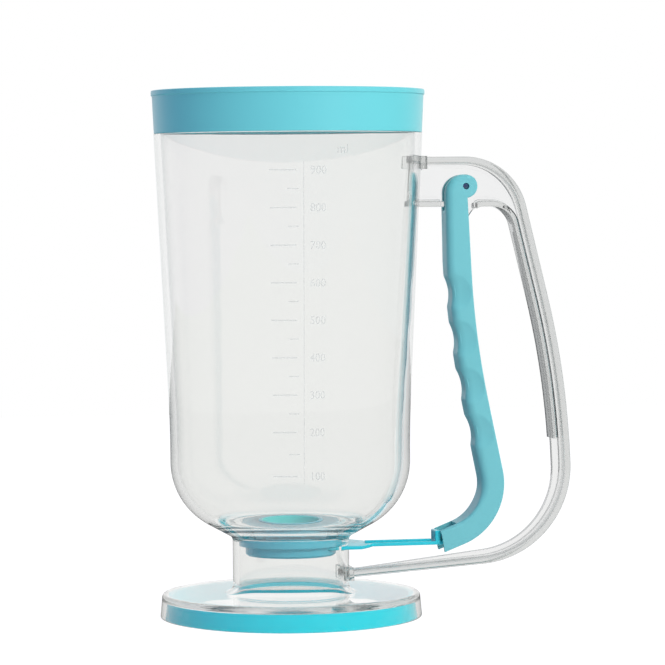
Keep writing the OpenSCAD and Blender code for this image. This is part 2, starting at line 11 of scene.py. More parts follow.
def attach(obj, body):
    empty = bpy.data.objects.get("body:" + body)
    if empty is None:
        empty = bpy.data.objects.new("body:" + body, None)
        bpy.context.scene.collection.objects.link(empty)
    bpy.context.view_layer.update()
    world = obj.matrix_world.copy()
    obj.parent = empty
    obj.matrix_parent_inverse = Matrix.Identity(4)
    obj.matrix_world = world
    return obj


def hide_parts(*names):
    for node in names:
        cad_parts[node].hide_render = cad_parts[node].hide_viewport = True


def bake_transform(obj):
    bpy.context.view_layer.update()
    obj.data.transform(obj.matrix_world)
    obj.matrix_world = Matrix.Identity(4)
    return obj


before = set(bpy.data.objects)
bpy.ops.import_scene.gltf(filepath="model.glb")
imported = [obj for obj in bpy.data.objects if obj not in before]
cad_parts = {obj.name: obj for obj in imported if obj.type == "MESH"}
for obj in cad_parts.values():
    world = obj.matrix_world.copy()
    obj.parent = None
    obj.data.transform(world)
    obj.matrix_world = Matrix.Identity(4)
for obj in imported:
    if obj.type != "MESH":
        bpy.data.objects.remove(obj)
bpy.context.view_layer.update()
MM = 0.001

# ---- Studio ----
# A product table in a white room. The camera stands a little round from the jug's side, level with the
# handle's arch. Two soft boxes in front on the right and one overhead light the jug and don't show in it.
# Mirror rays find the room dim except straight behind, which draws grey outlines round the clear walls.

camera_turn = math.radians(10.5)
camera_far = 1328.5
camera_height = 174.8
camera_roll = math.radians(0.38)
aim_right = 17.6
aim_height = 116.3
light_bounces = 64
across = Vector((math.cos(camera_turn), -math.sin(camera_turn), 0))
ahead = Vector((math.sin(camera_turn), math.cos(camera_turn), 0))

camera = bpy.data.objects.new("camera", bpy.data.cameras.new("camera"))
camera.data.lens = 176.5
camera.data.sensor_width = 36
camera.data.clip_start = 0.05
camera.data.clip_end = 30
camera.location = (ahead * -camera_far + Vector((0, 0, camera_height))) * MM
look = (across * aim_right + Vector((0, 0, aim_height))) * MM - camera.location
level_look = look.to_track_quat("-Z", "Y")
camera.rotation_mode = "QUATERNION"
camera.rotation_quaternion = level_look @ Matrix.Rotation(-camera_roll, 3, "Z").to_quaternion()
bpy.context.scene.collection.objects.link(camera)
bpy.context.scene.camera = camera
bpy.context.scene.view_settings.view_transform = "Standard"
bpy.context.scene.cycles.max_bounces = light_bounces
bpy.context.scene.cycles.transmission_bounces = light_bounces
bpy.context.scene.cycles.glossy_bounces = light_bounces


def soft_box(name, turn, rise, far, width, height, power):
    """A rectangular lamp on a sphere round the jug's middle, turned clockwise from the camera, facing in."""
    lamp = bpy.data.lights.new(name, "AREA")
    lamp.shape = "RECTANGLE"
    lamp.size = width
    lamp.size_y = height
    lamp.energy = power
    stand = bpy.data.objects.new(name, lamp)
    middle = Vector((0.03, 0, 0.11))
    turn = math.radians(turn)
    rise = math.radians(rise)
    level = -ahead * math.cos(turn) + across * math.sin(turn)
    stand.location = middle + far * (level * math.cos(rise) + Vector((0, 0, math.sin(rise))))
    stand.rotation_mode = "QUATERNION"
    stand.rotation_quaternion = (middle - stand.location).to_track_quat("-Z", "Y")
    stand.visible_glossy = False
    stand.visible_transmission = False
    bpy.context.scene.collection.objects.link(stand)


soft_box("key_box", 37, 24, 1.6, 0.45, 0.45, 7.5)
soft_box("fill_box", 35, 22, 1.3, 0.6, 1.0, 4)
soft_box("top_box", 10, 82, 1.4, 0.9, 0.9, 5)


def add_node(tree, kind, inputs=None, out=0, **settings):
    """Adds a shader node with these settings and inputs, and returns its output, or with out=None the node.

    An input is a value or another node's output.
    """
    node = tree.nodes.new("ShaderNode" + kind)
    for name, value in settings.items():
        setattr(node, name, value)
    for socket, value in (inputs or {}).items():
        if isinstance(value, bpy.types.NodeSocket):
            tree.links.new(value, node.inputs[socket])
        else:
            node.inputs[socket].default_value = value
    return node if out is None else node.outputs[out]


def mixed_colour(tree, share, low, high):
    """A colour that goes from low to high with the share. Each is a colour or another node's output."""
    low, high = ((*end, 1) if isinstance(end, tuple) else end for end in (low, high))
    return add_node(tree, "Mix", {"Factor": share, "A": low, "B": high}, "Result", data_type="RGBA")


def either(tree, first, second):
    """The greater of two masks."""
    return add_node(tree, "Math", {0: first, 1: second}, operation="MAXIMUM")


room = bpy.data.worlds.new("white_room")
bpy.context.scene.world = room
room.use_nodes = True
room_tree = room.node_tree
room_tree.nodes.clear()
room_rays = add_node(room_tree, "LightPath", out=None).outputs
room_way = add_node(room_tree, "TexCoord", out="Generated")
room_front, room_right = (
    add_node(room_tree, "VectorMath", {0: room_way, 1: tuple(way)}, "Value", operation="DOT_PRODUCT")
    for way in (-ahead, across)
)
room_depth = add_node(room_tree, "MapRange", {"Value": room_front, "From Min": -0.95, "From Max": -0.2},
                      interpolation_type="SMOOTHSTEP")
room_side = add_node(room_tree, "MapRange", {"Value": room_right, "From Min": -1, "From Max": 1})
room_cast = mixed_colour(room_tree, room_side, (0.26, 0.22, 0.42), (0.62, 0.68, 0.68))
room_dim = mixed_colour(room_tree, room_side, (0.20, 0.08, 0.32), (0.08, 0.16, 0.19))
room_tone = mixed_colour(room_tree, room_depth, (1, 1, 1), room_dim)
room_light = add_node(room_tree, "Background", {"Color": room_cast})
room_mirrored = add_node(room_tree, "Background", {"Color": room_tone})
room_white = add_node(room_tree, "Background", {"Color": (1, 1, 1, 1)})
room_seen = either(room_tree, room_rays["Is Camera Ray"], room_rays["Is Transmission Ray"])
room_rest = add_node(room_tree, "MixShader", {0: room_rays["Is Glossy Ray"], 1: room_light, 2: room_mirrored})
room_whole = add_node(room_tree, "MixShader", {0: room_seen, 1: room_rest, 2: room_white})
add_node(room_tree, "OutputWorld", {"Surface": room_whole}, out=None)

# ---- Table ----
# A white laminate table top, wide enough to pass for an endless sweep. It keeps a soft shadow under the foot,
# and glows only to the camera and through the plastic.


def both(tree, first, second):
    """The product of two masks."""
    return add_node(tree, "Math", {0: first, 1: second}, operation="MULTIPLY")


table_half = 1.2
table_corners = [(x * table_half, y * table_half, 0) for x, y in ((-1, -1), (1, -1), (1, 1), (-1, 1))]
table_mesh = bpy.data.meshes.new("table_top")
table_mesh.from_pydata(table_corners, [], [(0, 1, 2, 3)])
table = bpy.data.objects.new("table_top", table_mesh)
bpy.context.scene.collection.objects.link(table)
table_white = bpy.data.materials.new("table_white")
table_white.use_nodes = True
table_tree = table_white.node_tree
table_tree.nodes.clear()
table_rays = add_node(table_tree, "LightPath", out=None).outputs
table_seen = either(table_tree, table_rays["Is Camera Ray"], table_rays["Is Transmission Ray"])
table_matt = add_node(table_tree, "BsdfDiffuse", {"Color": (0.93, 0.93, 0.93, 1)})
table_mirrored = add_node(table_tree, "Emission", {"Strength": 0.16})
table_glow = add_node(table_tree, "Emission", {"Strength": 1.18})
table_glossy = table_rays["Is Glossy Ray"]
table_rest = add_node(table_tree, "MixShader", {0: table_glossy, 1: table_matt, 2: table_mirrored})
table_share = both(table_tree, table_seen, 0.8)
table_whole = add_node(table_tree, "MixShader", {0: table_share, 1: table_rest, 2: table_glow})
add_node(table_tree, "OutputMaterial", {"Surface": table_whole}, out=None)
table.data.materials.append(table_white)

# ---- Jug ----
# The jug, its rounded bowl, the throat under it and the hollow foot are one moulding in clear styrene.
# Its wall leans out by a few degrees so that it leaves the mould, and a thinner rim stands up inside the lid.

foot_r = 53.5
foot_top_r = 52.6
foot_z = 10.3
foot_plate = 2.6
skirt = 2.0
skirt_lift = 0.4
throat_r = 23.8
throat_in_r = 21.4
neck_z = 33.1
bowl_z = 46.9
jug_low_r = 48.9
jug_top_r = 54.7
jug_wall = 2.8
lean_z = 79.0
shoulder_z = 197.6
rim_r = 53.2
rim_z = 209.6
floor_z = 37.9
floor_under_z = 35.2
floor_hole_r = 12.9
slot_low_z = 28.1
slot_high_z = 29.9
slot_half_angle = math.radians(41.25)
jug_columns = 192


def rounded_line(corners, closed=False, arc_step=math.radians(4), stretch=3.0):
    """A line through corners (a, b, radius): an arc tangent to both edges at each, points along the edges."""
    place = np.array([c[:2] for c in corners], float)
    count = len(corners)
    points = []
    for i, (_, _, radius) in enumerate(corners):
        if radius == 0 or (not closed and i in (0, count - 1)):
            arc = place[i : i + 1]
        else:
            into = place[i] - place[i - 1]
            into /= np.hypot(*into)
            out = place[(i + 1) % count] - place[i]
            out /= np.hypot(*out)
            side = np.sign(into[0] * out[1] - into[1] * out[0])
            turn = math.acos(np.clip(into @ out, -1, 1))
            left = np.array([-into[1], into[0]]) * side
            centre = place[i] - into * radius * math.tan(turn / 2) + left * radius
            steps = max(3, math.ceil(turn / arc_step), math.ceil(turn * radius / stretch))
            angle = np.linspace(0, turn, steps + 1)
            arc = centre - radius * (left * np.cos(angle)[:, None] - into * np.sin(angle)[:, None])
        if points:
            points.append(between(points[-1][-1], arc[0], stretch))
        points.append(arc)
    if closed:
        points.append(between(points[-1][-1], points[0][0], stretch))
    line = np.concatenate(points)
    keep = np.hypot(*(line - np.roll(line, 1, axis=0)).T) > 1e-4
    keep[0] = True
    return line[keep]


def between(start, end, stretch):
    """The inner points of a straight edge, divided into equal parts no longer than stretch."""
    parts = max(1, math.ceil(np.hypot(*(end - start)) / stretch))
    share = np.arange(1, parts)[:, None] / parts
    return start + (end - start) * share


def grid_faces(rows, columns, close_rows, close_columns):
    """Quads of a grid of points numbered along its rows, as an array [row, column, corner]."""
    row = np.arange(rows if close_rows else rows - 1)[:, None]
    column = np.arange(columns if close_columns else columns - 1)[None, :]
    next_row = (row + 1) % rows
    next_column = (column + 1) % columns
    here = row * columns
    there = next_row * columns
    return np.stack([here + column, here + next_column, there + next_column, there + column], axis=-1)


def add_piece(name, points, faces, material, body, slot, *nodes, crease=35, second=None, is_second=()):
    """Makes an object of points in millimetres and faces, closes its poles, and smooths it up to the crease.

    is_second says, face by face, which ones take the second material.
    """
    mesh = bpy.data.meshes.new(name)
    mesh.from_pydata((np.asarray(points, float) * MM).tolist(), [], [list(map(int, face)) for face in faces])
    if second:
        mesh.polygons.foreach_set("material_index", is_second)
    work = bmesh.new()
    work.from_mesh(mesh)
    bmesh.ops.remove_doubles(work, verts=work.verts, dist=2e-6)
    bmesh.ops.dissolve_degenerate(work, edges=work.edges, dist=1e-6)
    bmesh.ops.recalc_face_normals(work, faces=work.faces)
    work.to_mesh(mesh)
    work.free()
    mesh.shade_smooth()
    mesh.set_sharp_from_angle(angle=math.radians(crease))
    mesh.materials.append(material)
    if second:
        mesh.materials.append(second)
    piece = bpy.data.objects.new(name, mesh)
    bpy.context.scene.collection.objects.link(piece)
    if body:
        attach(piece, body)
    if nodes:
        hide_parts(*nodes)
    return piece


def turned(profile, columns):
    """Points of a profile of radii and heights turned round the jug's axis, row by row."""
    angle = np.arange(columns) * 2 * math.pi / columns
    radius = profile[:, :1]
    height = np.broadcast_to(profile[:, 1:], (len(profile), columns))
    return np.stack([radius * np.cos(angle), radius * np.sin(angle), height], axis=-1).reshape(-1, 3)


def new_material(name, settings):
    """A Principled material with these socket values."""
    material = bpy.data.materials.new(name)
    material.use_nodes = True
    for socket, value in settings.items():
        material.node_tree.nodes["Principled BSDF"].inputs[socket].default_value = value
    return material


def feed(material, socket, output):
    """Links a node's output to a socket of the material's Principled shader."""
    shader = material.node_tree.nodes["Principled BSDF"]
    material.node_tree.links.new(output, shader.inputs[socket])


def moulded_skin_group():
    """The skin of a moulding: slow waves from cooling, a mould grain, and handling marks in the gloss.

    Height is the noise of the waves and of the grain, each times its height. Roughness runs from Gloss Low to
    Gloss High with the noise of the marks, which Cloud gives as it is.
    """
    group = bpy.data.node_groups.new("moulded_skin", "ShaderNodeTree")
    for name in ("Wave Size", "Wave Height", "Grain Size", "Grain Height", "Gloss Low", "Gloss High"):
        group.interface.new_socket(name, in_out="INPUT", socket_type="NodeSocketFloat")
    for name in ("Height", "Roughness", "Cloud"):
        group.interface.new_socket(name, in_out="OUTPUT", socket_type="NodeSocketFloat")
    take = group.nodes.new("NodeGroupInput").outputs
    give = group.nodes.new("NodeGroupOutput").inputs
    place = add_node(group, "TexCoord", out="Object")
    wave = add_node(group, "TexNoise", {"Vector": place, "Scale": take["Wave Size"], "Detail": 1.5})
    grain = add_node(group, "TexNoise", {"Vector": place, "Scale": take["Grain Size"], "Detail": 2})
    marks = add_node(group, "TexNoise", {"Vector": place, "Scale": 45, "Detail": 5, "Roughness": 0.65})
    wave_lift = both(group, wave, take["Wave Height"])
    grain_lift = both(group, grain, take["Grain Height"])
    gloss = add_node(group, "MapRange", {"Value": marks, "From Min": 0.35, "From Max": 0.7,
                                         "To Min": take["Gloss Low"], "To Max": take["Gloss High"]})
    group.links.new(add_node(group, "Math", {0: wave_lift, 1: grain_lift}), give["Height"])
    group.links.new(gloss, give["Roughness"])
    group.links.new(marks, give["Cloud"])
    return group


moulded_skin = moulded_skin_group()


def dress(material, bump, wave, grain, gloss):
    """Gives a material the moulded skin on its roughness and normal, and returns the skin's cloud mask.

    wave and grain are each a size and a height, and gloss is the lowest and the highest roughness.
    """
    tree = material.node_tree
    skin = add_node(tree, "Group", out=None, node_tree=moulded_skin)
    for socket, value in zip(skin.inputs, (*wave, *grain, *gloss)):
        socket.default_value = value
    lift = add_node(tree, "Bump", {"Strength": bump, "Distance": 0.001, "Height": skin.outputs["Height"]})
    feed(material, "Roughness", skin.outputs["Roughness"])
    feed(material, "Normal", lift)
    return skin.outputs["Cloud"]


def height_above_table(tree):
    """Height of a point of the surface, in metres."""
    return add_node(tree, "SeparateXYZ", {0: add_node(tree, "TexCoord", out="Object")}, "Z")


def distance_from_axis(tree):
    """How far a point of the surface lies from the jug's axis, in metres."""
    place = add_node(tree, "TexCoord", out="Object")
    level = add_node(tree, "VectorMath", {0: place, 1: (1, 1, 0)}, operation="MULTIPLY")
    return add_node(tree, "VectorMath", {0: level}, "Value", operation="LENGTH")


def clear_styrene(name, tint, density, edge, painted_edge_from, above=None):
    """Clear plastic: grey through its depth, with a painted dark reflection edge-on, and letting lamp light
    through to what it holds.

    The painted edge colour sets in from the slant painted_edge_from on and, where above is given, over that
    range of heights.
    """
    material = new_material(name, {"Transmission Weight": 1.0, "IOR": 1.57})
    tree = material.node_tree
    dress(material, 0.05, wave=(40, 0.6), grain=(900, 0.001), gloss=(0.0, 0.01))
    slant = add_node(tree, "LayerWeight", {"Blend": 0.5}, "Facing")
    share = add_node(tree, "MapRange", {"Value": slant, "From Min": painted_edge_from},
                     interpolation_type="SMOOTHSTEP")
    if above:
        rise = add_node(tree, "MapRange", {"Value": height_above_table(tree), "From Min": above[0] * MM,
                                           "From Max": above[1] * MM})
        share = both(tree, share, rise)
    # painted dark reflection: the colour turns to the edge colour where the surface is seen edge-on
    feed(material, "Base Color", mixed_colour(tree, share, tint, edge))
    rays = add_node(tree, "LightPath", out=None).outputs
    lit = either(tree, rays["Is Shadow Ray"], rays["Is Diffuse Ray"])
    through = add_node(tree, "BsdfTransparent", {"Color": (0.97, 0.975, 0.97, 1)})
    plastic = tree.nodes["Principled BSDF"].outputs[0]
    surface = add_node(tree, "MixShader", {0: lit, 1: plastic, 2: through})
    depth = add_node(tree, "VolumeAbsorption", {"Color": (0.5, 0.52, 0.5, 1), "Density": density})
    tree.links.new(surface, tree.nodes["Material Output"].inputs["Surface"])
    tree.links.new(depth, tree.nodes["Material Output"].inputs["Volume"])
    return material


# the jug's wall turns darker edge-on by a painted dark reflection, fading in between heights 45 and 75 mm
clear_plastic = clear_styrene("clear_styrene", (0.94, 0.945, 0.935), 5, (0.3, 0.35, 0.37), 0.6, (45, 75))

# the foot plate's rounded inner edge under the throat is painted with the band's colour: a painted reflection
# of the band, which the plate would carry there like a light guide
band_reflection_r = 23.6
band_reflection_z = 10.9
band_reflection_half = 0.9
jug_tree = clear_plastic.node_tree
plain_colour = jug_tree.nodes["Principled BSDF"].inputs["Base Color"].links[0].from_socket
off_axis = distance_from_axis(jug_tree)
height = height_above_table(jug_tree)
band_reflection_near = add_node(jug_tree, "Math", {0: off_axis, 1: band_reflection_r * MM}, operation="LESS_THAN")
band_reflection_level = add_node(jug_tree, "Math", {0: height, 1: band_reflection_z * MM, 2: band_reflection_half * MM},
                       operation="COMPARE")
from_inside = add_node(jug_tree, "NewGeometry", out="Backfacing")
from_outside = add_node(jug_tree, "Math", {0: 1, 1: from_inside}, operation="SUBTRACT")
painted_band_reflection = both(jug_tree, both(jug_tree, band_reflection_near, band_reflection_level), from_outside)
# painted reflection of the band on the foot plate's inner edge, seen from outside
feed(clear_plastic, "Base Color", mixed_colour(jug_tree, painted_band_reflection, plain_colour, (0.02, 0.36, 0.5)))

jug_profile = rounded_line([
    (foot_r, skirt_lift, 0.7),
    (foot_top_r, foot_z, 1.8),
    (throat_r, foot_z, 3.5),
    (throat_r, neck_z, 2.5),
    (jug_low_r, bowl_z, 29),
    (jug_low_r, lean_z, 480),
    (jug_top_r, shoulder_z, 0.3),
    (rim_r, shoulder_z, 0.3),
    (rim_r, rim_z, 0.5),
    (jug_top_r - jug_wall, rim_z, 0.5),
    (jug_top_r - jug_wall, shoulder_z, 40),
    (jug_low_r - jug_wall, lean_z, 480),
    (jug_low_r - jug_wall, floor_z, 26.2),
    (floor_hole_r, floor_z, 0.3),
    (floor_hole_r, floor_under_z, 0.3),
    (throat_in_r, floor_under_z, 0.8),
    (throat_in_r, foot_z - foot_plate, 5.9),
    (foot_top_r - skirt, foot_z - foot_plate, 0.6),
    (foot_r - skirt, skirt_lift, 0.5),
], closed=True)


def with_level(line, radius, z):
    """Adds the point (radius, z) to a closed line, on its upright stretch at that radius."""
    on = (np.abs(line[:, 0] - radius) < 0.01) & (np.abs(np.roll(line, -1, axis=0)[:, 0] - radius) < 0.01)
    after = np.roll(line, -1, axis=0)[:, 1]
    here = np.flatnonzero(on & ((line[:, 1] - z) * (after - z) <= 0))[0]
    return np.insert(line, here + 1, (radius, z), axis=0)


for radius in (throat_r, throat_in_r):
    for level in (slot_low_z, slot_high_z):
        jug_profile = with_level(jug_profile, radius, level)

# slot that the gate slides through, cut out of both faces of the throat's wall and lined
jug_rows = len(jug_profile)
jug_points = turned(jug_profile, jug_columns)
jug_quads = grid_faces(jug_rows, jug_columns, True, True)
slot_columns = round(slot_half_angle / (2 * math.pi / jug_columns))
slot_span = np.arange(-slot_columns, slot_columns + 1) % jug_columns


def level_row(radius, z):
    """The row of the jug's grid at this radius and height."""
    return int(np.flatnonzero((np.abs(jug_profile - (radius, z)) < 1e-3).all(axis=1))[0])


outer_low, outer_high = level_row(throat_r, slot_low_z), level_row(throat_r, slot_high_z)
inner_high, inner_low = level_row(throat_in_r, slot_high_z), level_row(throat_in_r, slot_low_z)
kept = np.ones(jug_quads.shape[:2], bool)
kept[outer_low:outer_high, slot_span[:-1]] = False
kept[inner_high:inner_low, slot_span[:-1]] = False


def lining(row_a, row_b):
    """Quads between two rows of the jug's grid along the slot."""
    a = row_a * jug_columns + slot_span
    b = row_b * jug_columns + slot_span
    return np.stack([a[:-1], a[1:], b[1:], b[:-1]], axis=-1)


slot_ends = [
    [row * jug_columns + end for row in (outer_low, outer_high, inner_high, inner_low)]
    for end in (slot_span[0], slot_span[-1])
]
jug_faces = [*jug_quads[kept], *lining(outer_low, inner_low), *lining(outer_high, inner_high), *slot_ends]
add_piece("jug", jug_points, jug_faces, clear_plastic, "jug", "clear_body", "container")

# ---- Scale marks ----
# A scale moulded in fine raised lines on the side of the jug: long lines with their numbers, short lines half
# way between them, and one upright line.

mark_out = 0.05
mark_t = 0.1


def jug_radius(z):
    """Outer radius of the jug's leaning wall at this height."""
    return jug_low_r + (jug_top_r - jug_low_r) * np.maximum(0, z - lean_z) / (shoulder_z - lean_z)


def on_wall(points):
    """Lays points (degrees round from the middle of the side, height, distance off the wall) on the jug."""
    angle = np.radians(points[:, 0] - 90)
    radius = jug_radius(points[:, 1]) + mark_out + points[:, 2]
    return np.stack([radius * np.cos(angle), radius * np.sin(angle), points[:, 1]], axis=1)


def raised_line(left, right, low, high):
    """A raised line on the wall between two angles and two heights: a box of points bent round the wall."""
    steps = 9
    lift = [(low, 0), (high, 0), (high, mark_t), (low, mark_t)]
    points = np.column_stack([np.repeat(np.linspace(left, right, steps), 4), np.tile(lift, (steps, 1))])
    last = 4 * (steps - 1)
    faces = [*grid_faces(steps, 4, False, True).reshape(-1, 4), range(4), range(last, last + 4)]
    return on_wall(points), faces


def joined(*parts):
    """Several sets of points and faces as one."""
    points = []
    faces = []
    for part_points, part_faces in parts:
        first = sum(len(p) for p in points)
        points.append(part_points)
        faces += [[int(k) + first for k in face] for face in part_faces]
    return np.concatenate(points), faces


def raised_number(words, left, low, height):
    """Figures in the plain built-in face, made a mesh and bent round the wall from the lower left corner."""
    curve = bpy.data.curves.new("figures", "FONT")
    curve.body = words
    curve.size = height / 0.7
    curve.extrude = mark_t / 2
    curve.resolution_u = 3
    holder = bpy.data.objects.new("figures", curve)
    bpy.context.scene.collection.objects.link(holder)
    bpy.context.view_layer.update()
    flat = bpy.data.meshes.new_from_object(holder.evaluated_get(bpy.context.evaluated_depsgraph_get()))
    place = np.empty(len(flat.vertices) * 3)
    flat.vertices.foreach_get("co", place)
    place = place.reshape(-1, 3)
    faces = [list(face.vertices) for face in flat.polygons]
    bpy.data.objects.remove(holder)
    bpy.data.curves.remove(curve)
    bpy.data.meshes.remove(flat)
    around = left + np.degrees(place[:, 0] / jug_top_r)
    return on_wall(np.column_stack([around, low + place[:, 1], place[:, 2] + mark_t / 2])), faces


first_mark_z = 61.8
second_mark_z = 79.2
mark_step = 14.75
figure_h = 3.2
mark_z = [first_mark_z] + [second_mark_z + mark_step * k for k in range(8)]
between_z = [(low + high) / 2 for low, high in zip(mark_z[:-1], mark_z[1:])]
marks = [raised_line(-18.3, -7.1, z - 0.25, z + 0.25) for z in mark_z]
marks += [raised_line(-10.9, -6.2, z - 0.2, z + 0.2) for z in between_z]
marks += [raised_line(-4.2, -3.9, mark_z[0] - 3, mark_z[-1] + 3)]
marks += [raised_number(f"{100 * (k + 1)}", -1.4, z - figure_h / 2, figure_h) for k, z in enumerate(mark_z)]
marks += [raised_number("ml", 10.0, mark_z[-1] + 6.5, 3.6)]
frosted_styrene = new_material("frosted_styrene", {
    "Base Color": (0.5, 0.55, 0.53, 1), "Alpha": 0.16, "IOR": 1.5,
})
dress(frosted_styrene, 0.1, wave=(80, 0.2), grain=(2500, 0.05), gloss=(0.4, 0.6))
add_piece("raised_scale", *joined(*marks), frosted_styrene, "jug", "clear_body")

# ---- Handle ----
# A separate clear moulding in an I section: an outer flange for the palm, a web, and an inner flange under
# the arch and down the grip. Its ends are welded to the jug's wall and to the throat.

handle_top = 187.7
grip_back = (115.5, 97.5)
grip_lean = 0.243
arch_r = 26.5
heel = (118.6, 22.8, 40)
bar_z = 15.9
bar_end_h = 2.8
grip_depth = 6.8
flange_half = 5.75
flange_t = 2.6
inner_flange_t = 2.2
web_half = 1.5
web_low_z = 167.2
hook_x = 74.0
hook_drop = 5.6
inner_flange_end_z = 71.0
pad_half = 11.5
pad_h = 5.3
pad_end_x = 55.6
pad_high = 0.3
foot_half = 8.0
foot_low = 1.2
foot_high = 1.4
foot_end_x = 24.8
weld_gap = 0.1


def shifted(corners, distance):
    """The same corners moved to the left of travel, each arc kept concentric."""
    place = np.array([c[:2] for c in corners], float)
    way = np.diff(place, axis=0)
    way /= np.hypot(*way.T)[:, None]
    left = np.stack([-way[:, 1], way[:, 0]], axis=1)
    moved = []
    for i, (_, _, radius) in enumerate(corners):
        if i in (0, len(corners) - 1):
            moved.append((*(place[i] + distance * left[min(i, len(left) - 1)]), 0))
            continue
        shift = (left[i - 1] + left[i]) / (1 + way[i - 1] @ way[i])
        side = np.sign(way[i - 1][0] * way[i][1] - way[i - 1][1] * way[i][0])
        moved.append((*(place[i] + distance * shift), max(0.2, radius - distance * side)))
    return moved


arch_corner_x = grip_back[0] - grip_lean * (handle_top - grip_back[1])
back = [
    (50, handle_top, 0),
    (arch_corner_x, handle_top, arch_r),
    (*grip_back, 345),
    heel,
    (throat_r - 1, bar_z, 0),
]
back_in = shifted(back, -grip_depth)
arch_in, grip_in, heel_in = back_in[1:4]
arch_in_x = arch_in[0] + (grip_in[0] - arch_in[0]) * (web_low_z - arch_in[1]) / (grip_in[1] - arch_in[1])
front = [
    (50, web_low_z, 0),
    (hook_x - 3.6, web_low_z, 0.5),
    (hook_x - 2.4, web_low_z - hook_drop + 0.4, 0.5),
    (hook_x, web_low_z - hook_drop, 0.3),
    (hook_x + 3.8, web_low_z, 5),
    (arch_in_x, web_low_z, 9.5),
    grip_in,
    heel_in,
    (throat_r - 1, bar_z + bar_end_h, 0),
]
back_line = rounded_line(back, stretch=0.5, arc_step=math.radians(1))
front_line = rounded_line(front, stretch=0.5, arc_step=math.radians(2))


def run(line):
    """Length along a line at each of its points."""
    return np.concatenate([[0], np.cumsum(np.hypot(*np.diff(line, axis=0).T))])


def reach(line, point):
    """Length along a line at its point nearest to this one."""
    return run(line)[np.argmin(np.hypot(*(line - point).T))]


def along(line, lengths):
    """Points of a line at these lengths, straight between its own points."""
    return np.stack([np.interp(lengths, run(line), line[:, k]) for k in (0, 1)], axis=1)


def at(line, lengths, step=0.4):
    """Points of a line at these lengths, and the unit normals to the right of travel there."""
    way = along(line, lengths + step) - along(line, lengths - step)
    way /= np.hypot(*way.T)[:, None]
    return along(line, lengths), np.stack([way[:, 1], -way[:, 0]], axis=1)


arch_start = (arch_corner_x - 13, handle_top)
stops = [
    ((54.2, handle_top), (53.2, web_low_z), "pad"),
    ((pad_end_x, handle_top), (pad_end_x, web_low_z), "flanges"),
    ((63.8, handle_top), (63.8, web_low_z), "web"),
    ((70.2, handle_top), (70.2, web_low_z), "web"),
    ((72.0, handle_top), (71.6, web_low_z - hook_drop), "web"),
    ((73.4, handle_top), (73.9, web_low_z - hook_drop), "web"),
    ((76.0, handle_top), (77.4, web_low_z), "flanges"),
    (arch_start, (83.0, web_low_z), "flanges"),
    ((104.0, 149.0), (97.0, 147.0), "flanges"),
    ((114.0, 104.0), (107.0, 103.0), "flanges"),
    ((117.0, inner_flange_end_z), (110.2, inner_flange_end_z), "web"),
    ((117.5, 60.0), (110.6, 60.0), "web"),
    ((76.0, 19.7), (76.0, 25.0), "web"),
    ((foot_end_x, 16.0), (foot_end_x, 18.8), "foot"),
    ((24.2, bar_z), (24.2, bar_z + bar_end_h), "end"),
]
section_soft = 0.6
section_fillet = 0.8
web_soft = 0.3
outward, inward, deep, shallow = (1, 0), (-1, 0), (0, 1), (0, -1)


def quarter_round(y, depth, radius, start, end, line):
    """A quarter circle round (y, depth): radius times the start way's cosine plus the end way's sine."""
    return [(y + radius * (start[0] * math.cos(t) + end[0] * math.sin(t)),
             depth + radius * (start[1] * math.cos(t) + end[1] * math.sin(t)), line)
            for t in np.linspace(0, math.pi / 2, 5)]


def half_section(kind):
    """Half of a cross-section, from the back's middle to the front's, as (y, depth, line).

    The depth counts from the back line where line is 0 and from the front line where it is 1. Quarter circles
    round the flange's two edges and the corner at the web. Points on the web at fixed depths keep the
    sections of all kinds in step, so that a flange can end between two of them.
    """
    soft, fillet, web = section_soft, section_fillet, web_half
    spread = np.arange(1, 6)
    if kind == "foot":
        flat = (6.0, 5.0, *(4.6 - 0.2 * spread), *(3.5 - 0.2 * spread), *(2.4 - 0.2 * spread), 1.2, 0)
        return np.array([
            (0, -foot_low, 0),
            *quarter_round(foot_half - soft, soft - foot_low, soft, shallow, outward, 0),
            *((foot_half, -0.1 + 0.15 * k, 0) for k in spread),
            *quarter_round(foot_half - soft, soft - foot_high, soft, outward, shallow, 1),
            *((y, -foot_high, 1) for y in flat),
        ])
    wide, thick, rise = (pad_half, pad_h, pad_high) if kind == "pad" else (flange_half, flange_t, 0.0)
    under = thick - rise
    columns = [
        (0, -rise, 0),
        *quarter_round(wide - soft, soft - rise, soft, shallow, outward, 0),
        *quarter_round(wide - soft, under - soft, soft, outward, deep, 0),
        *quarter_round(web + fillet, under + fillet, fillet, shallow, inward, 0),
        (web, pad_h - pad_high + fillet, 0),
        (web, inner_flange_t + fillet, 1),
    ]
    if kind == "web":
        columns += [(web, inner_flange_t + fillet - 0.1 * k, 1) for k in spread]
        columns += [(web, 2.4 - 0.35 * k, 1) for k in spread]
        columns += quarter_round(web - web_soft, web_soft, web_soft, outward, shallow, 1)
    else:
        columns += quarter_round(web + fillet, inner_flange_t + fillet, fillet, inward, shallow, 1)
        columns += quarter_round(flange_half - soft, inner_flange_t - soft, soft, deep, outward, 1)
        columns += quarter_round(flange_half - soft, soft, soft, outward, shallow, 1)
    return np.array([*columns, (1.2, 0, 1), (0, 0, 1)])


def in_step(line_a, line_b, start, end, spacing):
    """Pairs of lengths along two lines, in equal steps from one pair of points to the next, both included."""
    start = np.array([reach(line_a, start[0]), reach(line_b, start[1])])
    end = np.array([reach(line_a, end[0]), reach(line_b, end[1])])
    parts = max(2, math.ceil(max(end - start) / spacing))
    return start + (end - start) * np.linspace(0, 1, parts + 1)[:, None]


